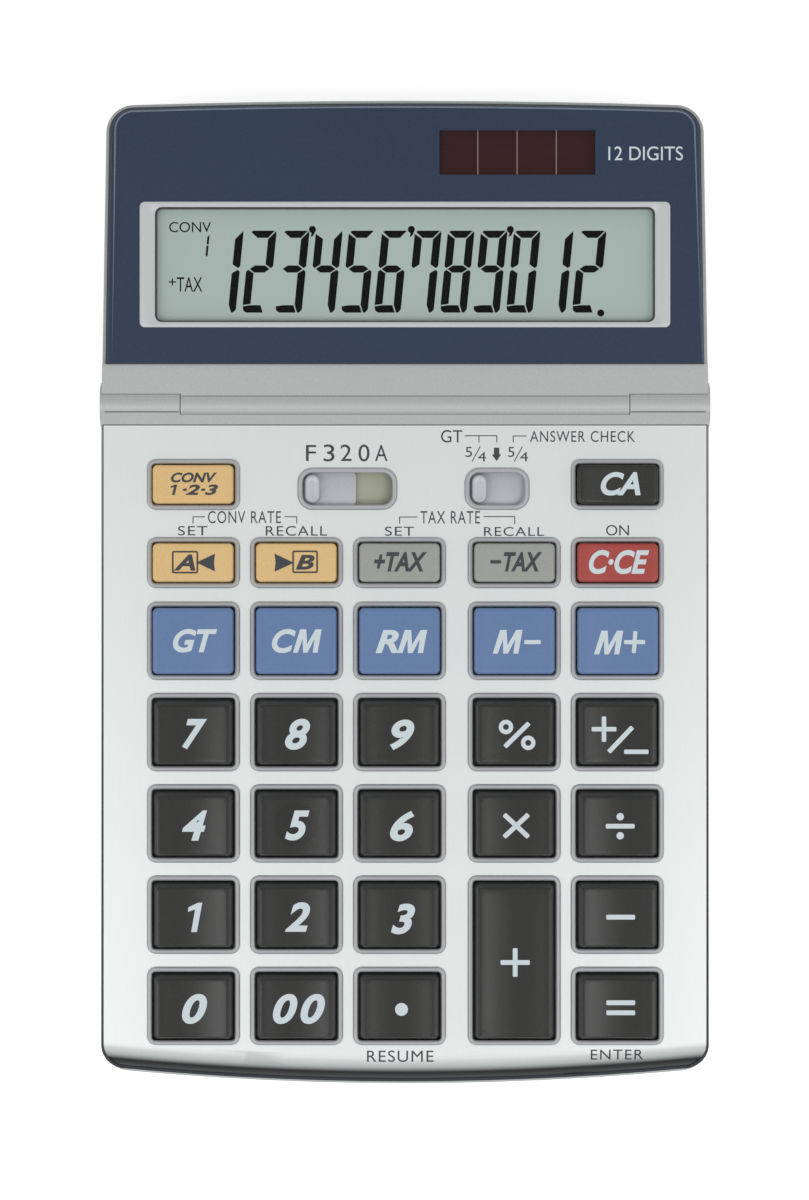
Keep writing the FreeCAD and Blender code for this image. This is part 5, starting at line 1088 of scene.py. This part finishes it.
class CALCULATOR_OT_keys(bpy.types.Operator):
    """Moulds the keycaps and prints their marks"""

    bl_idname = "calculator.keys"
    bl_label = "Keys"

    def execute(self, context):
        sizes = context.scene.calculator_sizes
        height, dish = sizes.key_height / MM, sizes.key_dish / MM
        dish_depth, corner = sizes.key_dish_depth / MM, sizes.key_corner / MM

        def top_at(x, y):
            return min(height, height - dish_depth + dish - math.sqrt(dish * dish - x * x))

        for name, tint, column, row in KEYS:
            depth = SHORT_OPENING if row < 2 else TALL_OPENING if row == TALL_ROW else OPENING
            half_x, half_y = OPENING_WIDTH / 2 - KEY_MARGIN, depth / 2 - KEY_MARGIN
            key = bmesh.new()
            profile = BLACK_PROFILE if tint == "black" else COLOUR_PROFILE
            skin(key, key_loops(half_x, half_y, profile, top_at, corner))
            for *ring, thickness in SPOT_RINGS if name == "5" else ():
                spot = bmesh.new()
                add_ring(spot, *ring, 48)
                lay(spot, top_at, thickness, 1.0)
                merge_into(key, spot)
            marks = bmesh.new()
            add_marks(marks, LEGENDS[name], 1)
            lay(marks, top_at, sizes.ink / MM)
            merge_into(key, marks)
            y = TALL_Y if row == TALL_ROW else ROWS[row]
            bmesh.ops.translate(key, verts=key.verts, vec=(COLUMNS[column], y, 0))
            dark = tint in ("orange", "grey")
            finishes = [f"{tint}_key", "dark_ink" if dark else "light_ink", "dark_spot"]
            new_piece(key, f"cap_{name}", finishes, f"key_{name}_cap", [f"key_{name}"], 40)
        return {"FINISHED"}


def merge_into(form, other):
    """Adds one bmesh to another."""
    mesh = bpy.data.meshes.new("merged")
    other.to_mesh(mesh)
    other.free()
    form.from_mesh(mesh)
    bpy.data.meshes.remove(mesh)


def add_block(form, left, right, low, high, corner, bevel, material):
    """A block across a slide switch, with round corners and a bevelled top."""
    loops = []
    for inset, z in ((0.0, low), (0.0, high - bevel), (bevel * 0.3, high - bevel * 0.3), (bevel, high)):
        front, rear = SLIDE_FRONT + inset, SLIDE_REAR - inset
        loops.append(at_height(rounded_outline(left + inset, right - inset, front, rear, corner), z))
    skin(form, loops, material)


class CALCULATOR_OT_slides(bpy.types.Operator):
    """Moulds the two slide switches with their oval grips"""

    bl_idname = "calculator.slides"
    bl_label = "Slide switches"

    def execute(self, context):
        height = context.scene.calculator_sizes.grip_height / MM
        half_x, half_y, corner = GRIP
        ramp_start, ramp_length, ramp_height, ramp_half = RAMP
        for name, left, plate_left, plate_right, right, grip_x in SLIDES:
            form = bmesh.new()
            add_block(form, left, right, *SLIDE_FLOOR)
            add_block(form, plate_left, plate_right, *SLIDE_PLATE)
            for leg in (left, right - LEG_WIDTH):
                add_block(form, leg, leg + LEG_WIDTH, *SLIDE_LEG)
            loops = []
            for inset, z in GRIP_PROFILE:
                outline = centred_outline(grip_x, SLIDE_Y, half_x - inset, half_y - inset, corner, 8)
                loops.append(at_height(outline, z + height))
            skin(form, loops)
            foot, top = grip_x + ramp_start, SLIDE_PLATE[1]
            section = [(foot, top - 0.1), (foot + ramp_length, top - 0.1)]
            for share in (step / 8 for step in range(8, -1, -1)):
                section.append((foot + ramp_length * share, top + ramp_height * (1 - share) ** 2.4))
            ends = (SLIDE_Y + ramp_half, SLIDE_Y - ramp_half)
            skin(form, [[(x, y, z) for x, z in section] for y in ends])
            finishes, stands_for = ["slide_plastic", "switch_floor"], [f"{name}_slider"]
            new_piece(form, f"{name}_slide", finishes, f"{name}_switch", stands_for, 50)
        return {"FINISHED"}


class CALCULATOR_OT_screws(bpy.types.Operator):
    """Grows the screws of the case, the battery cover and the display"""

    bl_idname = "calculator.screws"
    bl_label = "Screws"

    def execute(self, context):
        sizes = context.scene.calculator_sizes
        group = screw_tree()
        for node, body, place, length, points in SCREWS:
            inputs = {
                "Head": sizes.screw_head / MM,
                "Head height": sizes.screw_head_height / MM,
                "Shank": sizes.screw_shank / MM,
                "Length": length,
                "Recess": sizes.screw_recess / MM,
                "Finish": bpy.data.materials["screw_steel"],
            }
            form = joined([grown(group, points, inputs)])
            new_piece(form, f"{node}_crossed", ["screw_steel"], body, [node], 30, place)
        return {"FINISHED"}


class CALCULATOR_OT_captions(bpy.types.Operator):
    """Prints the captions and brackets on the face plate"""

    bl_idname = "calculator.captions"
    bl_label = "Captions"

    def execute(self, context):
        sizes = context.scene.calculator_sizes
        form = bmesh.new()
        for words, x, y, width, height in CAPTIONS:
            spacing = CAPTION_SPACING if len(words) > 2 else 1.0
            add_words(form, words, x, y, width, height, spacing=spacing)
        stroke = sizes.caption_stroke / MM
        for line in CAPTION_LINES:
            for (x0, y0), (x1, y1) in zip(line, line[1:]):
                length = math.hypot(x1 - x0, y1 - y0) + stroke
                turn = math.degrees(math.atan2(y1 - y0, x1 - x0))
                add_bar(form, (x0 + x1) / 2, (y0 + y1) / 2, length, stroke, turn)
        prism(form, DOWN_ARROW)
        lay(form, surface_of("face_plate"), sizes.ink / MM, 0.5)
        new_piece(form, "captions", ["dark_ink"], "base")
        form = bmesh.new()
        add_words(form, *PANEL_CAPTION)
        lay(form, surface_of("display_panel"), sizes.ink / MM, 1.0)
        new_piece(form, "panel_caption", ["light_ink"], "display")
        return {"FINISHED"}


class CALCULATOR_OT_digits(bpy.types.Operator):
    """Draws the digits and signs of the liquid crystal display"""

    bl_idname = "calculator.digits"
    bl_label = "Display digits"

    def execute(self, context):
        form = bmesh.new()
        lefts = [FIRST_DIGIT_X + place * DIGIT_PITCH for place in range(len(DIGIT_SEGMENTS))]
        for left, segments in zip(lefts, DIGIT_SEGMENTS):
            self.digit(form, segments, left, DIGIT_Y, SEGMENT_UNIT)
        for left in (lefts[3], lefts[6], lefts[9]):
            add_ring(form, left + COMMA[0], DIGIT_Y + COMMA[1], DOT_RADIUS, 0)
            prism(form, [(left + x, DIGIT_Y + y) for x, y in COMMA_TAIL])
        add_ring(form, lefts[-1] + POINT[0], DIGIT_Y + POINT[1], DOT_RADIUS, 0)
        self.digit(form, "bc", *SMALL_DIGIT)
        for words in LCD_WORDS:
            add_words(form, *words)
        lay(form, lambda x, y: LCD_TOP, 0.02, UNCUT)
        new_piece(form, "display_digits", ["crystal_ink"], "display")
        return {"FINISHED"}

    def digit(self, form, segments, left, bottom, unit):
        """The dark segments of one digit, slanted."""
        for letter in segments:
            points = [(left + (x + y * DIGIT_SLANT) * unit, bottom + y * unit) for x, y in SEGMENTS[letter]]
            prism(form, list(reversed(points)))


class CALCULATOR_OT_window(bpy.types.Operator):
    """Makes the silver frame of the display window with soft edges, and a dark ring of painted shade inside
    it
    """

    bl_idname = "calculator.window"
    bl_label = "Window frame"

    def execute(self, context):
        form = bmesh.new()
        for material, levels in enumerate((WINDOW_LEVELS, SHADE_RING_LEVELS)):
            loops = []
            for half_x, half_y, corner, z in levels:
                loops.append(at_height(centred_outline(0, WINDOW_Y, half_x, half_y, corner, 6), z))
            skin(form, loops, material, closed=False)
        weld(form)
        finishes = ["silver_paint", "window_gasket"]
        new_piece(form, "window_trim", finishes, "display", ["window_frame"], 50)
        return {"FINISHED"}


class CALCULATOR_OT_seams(bpy.types.Operator):
    """Draws the dark seams round the face plate, partly real gaps and partly painted shade, and round the
    display panel, and a painted highlight along the panel's edge
    """

    bl_idname = "calculator.seams"
    bl_label = "Seams"

    def execute(self, context):
        # The dark band round the face plate is partly its real gap to the case and partly painted shade of
        # that gap and the case's wall.
        plate = outline_of("face_plate")
        # Wider towards the rolled front edge, where the band is painted shade over the ledge under the
        # roll, and as high as the highest of three neighbouring points.
        seam_and_shade_width = [0.18 + 0.27 * min(max((-72 - point.y) / 12, 0), 1) for point in plate]
        near = zip(plate[-1:] + plate[:-1], plate, plate[1:] + plate[:1])
        heights = [max(point.z for point in points) + 0.015 for points in near]
        form = bmesh.new()
        add_seam(form, plate, -0.06, seam_and_shade_width, heights, 0.3)
        weld(form)
        new_piece(form, "plate_seam_and_shade", ["seam_shadow"], "base", sharp=50)
        panel = outline_of("display_panel")
        heights = [PANEL_TOP + SEAM_THICKNESS] * len(panel)
        form = bmesh.new()
        add_seam(form, panel, -0.12, 0.14, heights, 0.2)
        # The painted highlight, a pale line, runs along the sides and the top only.
        painted_highlight_line = [point + Vector((0.0, 0.42, 0.0)) for point in panel]
        front = min(point.y for point in panel)
        ends = [-0.78 if point.y > front + 1 else -1.08 for point in panel]
        add_seam(form, painted_highlight_line, -1.08, ends, heights, 0.05, 1)
        weld(form)
        finishes = ["seam_shadow", "panel_edge"]
        new_piece(form, "panel_seam_and_highlight", finishes, "display", sharp=50)
        for name, node, body, slot, lines in HINGE_SEAMS:
            form = bmesh.new()
            for line in lines:
                add_bar(form, *line)
            lay(form, surface_of(node), SEAM_THICKNESS, 1.0)
            weld(form)
            new_piece(form, name, ["seam_shadow"], body, sharp=50)
        return {"FINISHED"}


class CALCULATOR_OT_solar(bpy.types.Operator):
    """Makes the solar cell with the lines between its four cells"""

    bl_idname = "calculator.solar"
    bl_label = "Solar cell"

    def execute(self, context):
        form = bmesh.new()
        left, right, front, rear = SOLAR_BOX
        loops = []
        for inset, z in SOLAR_LEVELS:
            outline = rounded_outline(left + inset, right - inset, front + inset, rear - inset, 0.3, 3)
            loops.append(at_height(outline, z))
        skin(form, loops)
        lines = bmesh.new()
        for x in SOLAR_LINES:
            add_bar(lines, x, (front + rear) / 2, SOLAR_LINE_LENGTH, SOLAR_LINE_WIDTH, 90, 1)
        lay(lines, lambda x, y: SOLAR_TOP, 0.015, UNCUT)
        merge_into(form, lines)
        finishes = ["cell_glass", "cell_bus"]
        new_piece(form, "solar_window", finishes, "display", ["solar_cell"])
        return {"FINISHED"}


class CALCULATOR_OT_stage(bpy.types.Operator):
    """Sets the camera, the lights and the floor"""

    bl_idname = "calculator.stage"
    bl_label = "Stage"

    def execute(self, context):
        scene = context.scene
        stage = scene.calculator_stage
        self.floor(scene, stage)
        self.camera(scene, stage)
        self.lights(scene, stage)
        scene.view_settings.view_transform = "Standard"
        return {"FINISHED"}

    def floor(self, scene, stage):
        form = bmesh.new()
        bmesh.ops.create_circle(form, cap_ends=True, segments=64, radius=FLOOR_RADIUS)
        mesh = bpy.data.meshes.new("floor")
        form.to_mesh(mesh)
        form.free()
        finish = Finish("floor_paper")
        fibre = finish.noise(1.2, 3.0)
        camera, glossy, through = (
            finish.node("ShaderNodeLightPath", result=ray)
            for ray in ("Is Camera Ray", "Is Glossy Ray", "Is Transmission Ray")
        )
        glow = finish.mix(camera + glossy + through, (0.0, 0.0, 0.0), (1.0, 1.0, 1.0))
        finish.set(Base_Color=finish.mix(fibre, stage.floor, darker(stage.floor, 0.99)), Roughness=0.9)
        finish.set(Emission_Color=glow, Emission_Strength=0.5)
        mesh.materials.append(finish.material)
        floor = bpy.data.objects.new("floor", mesh)
        scene.collection.objects.link(floor)

    def camera(self, scene, stage):
        lens = bpy.data.cameras.new("camera")
        lens.sensor_width = 36.0
        lens.lens = lens.sensor_width * stage.camera_distance / stage.view_height
        camera = bpy.data.objects.new("camera", lens)
        scene.collection.objects.link(camera)
        camera.location = IN_ROW_FRAME @ CAMERA_AIM + KEYBOARD_UP * stage.camera_distance
        camera.rotation_euler = (LEAN, 0.0, 0.0)
        scene.camera = camera

    def lights(self, scene, stage):
        for left, right, front, rear in SOFTBOXES:
            box = bpy.data.lights.new("softbox", "AREA")
            box.shape = "RECTANGLE"
            box.size, box.size_y = right - left, rear - front
            box.energy = stage.softbox * math.pi * box.size * box.size_y
            lamp = bpy.data.objects.new("softbox", box)
            lamp.location = ((left + right) / 2, (front + rear) / 2, SOFTBOX_HEIGHT)
            scene.collection.objects.link(lamp)
        world = bpy.data.worlds.new("studio")
        world.use_nodes = True
        world.node_tree.nodes["Background"].inputs["Color"].default_value = (1.0, 1.0, 1.0, 1.0)
        world.node_tree.nodes["Background"].inputs["Strength"].default_value = stage.sky
        scene.world = world


OPERATORS = (
    CALCULATOR_OT_finishes,
    CALCULATOR_OT_bezels,
    CALCULATOR_OT_keys,
    CALCULATOR_OT_slides,
    CALCULATOR_OT_captions,
    CALCULATOR_OT_digits,
    CALCULATOR_OT_window,
    CALCULATOR_OT_seams,
    CALCULATOR_OT_solar,
    CALCULATOR_OT_screws,
    CALCULATOR_OT_stage,
)


class CALCULATOR_PT_pieces(bpy.types.Panel):
    """Lists the steps that dress the calculator"""

    bl_idname = "CALCULATOR_PT_pieces"
    bl_label = "Calculator"
    bl_space_type = "VIEW_3D"
    bl_region_type = "UI"
    bl_category = "Calculator"

    def draw(self, context):
        for operator in OPERATORS:
            self.layout.operator(operator.bl_idname)


GROUPS = (CalculatorColours, CalculatorSizes, CalculatorStage)
CLASSES = GROUPS + OPERATORS + (CALCULATOR_PT_pieces,)


def register():
    for item in CLASSES:
        bpy.utils.register_class(item)
    bpy.types.Scene.calculator_colours = PointerProperty(type=CalculatorColours)
    bpy.types.Scene.calculator_sizes = PointerProperty(type=CalculatorSizes)
    bpy.types.Scene.calculator_stage = PointerProperty(type=CalculatorStage)


def unregister():
    del bpy.types.Scene.calculator_stage
    del bpy.types.Scene.calculator_sizes
    del bpy.types.Scene.calculator_colours
    for item in reversed(CLASSES):
        bpy.utils.unregister_class(item)


def main():
    register()
    bpy.ops.calculator.finishes()
    bpy.ops.calculator.bezels()
    bpy.ops.calculator.keys()
    bpy.ops.calculator.slides()
    bpy.ops.calculator.captions()
    bpy.ops.calculator.digits()
    bpy.ops.calculator.window()
    bpy.ops.calculator.seams()
    bpy.ops.calculator.solar()
    bpy.ops.calculator.screws()
    bpy.ops.calculator.stage()


if __name__ == "__main__":
    main()
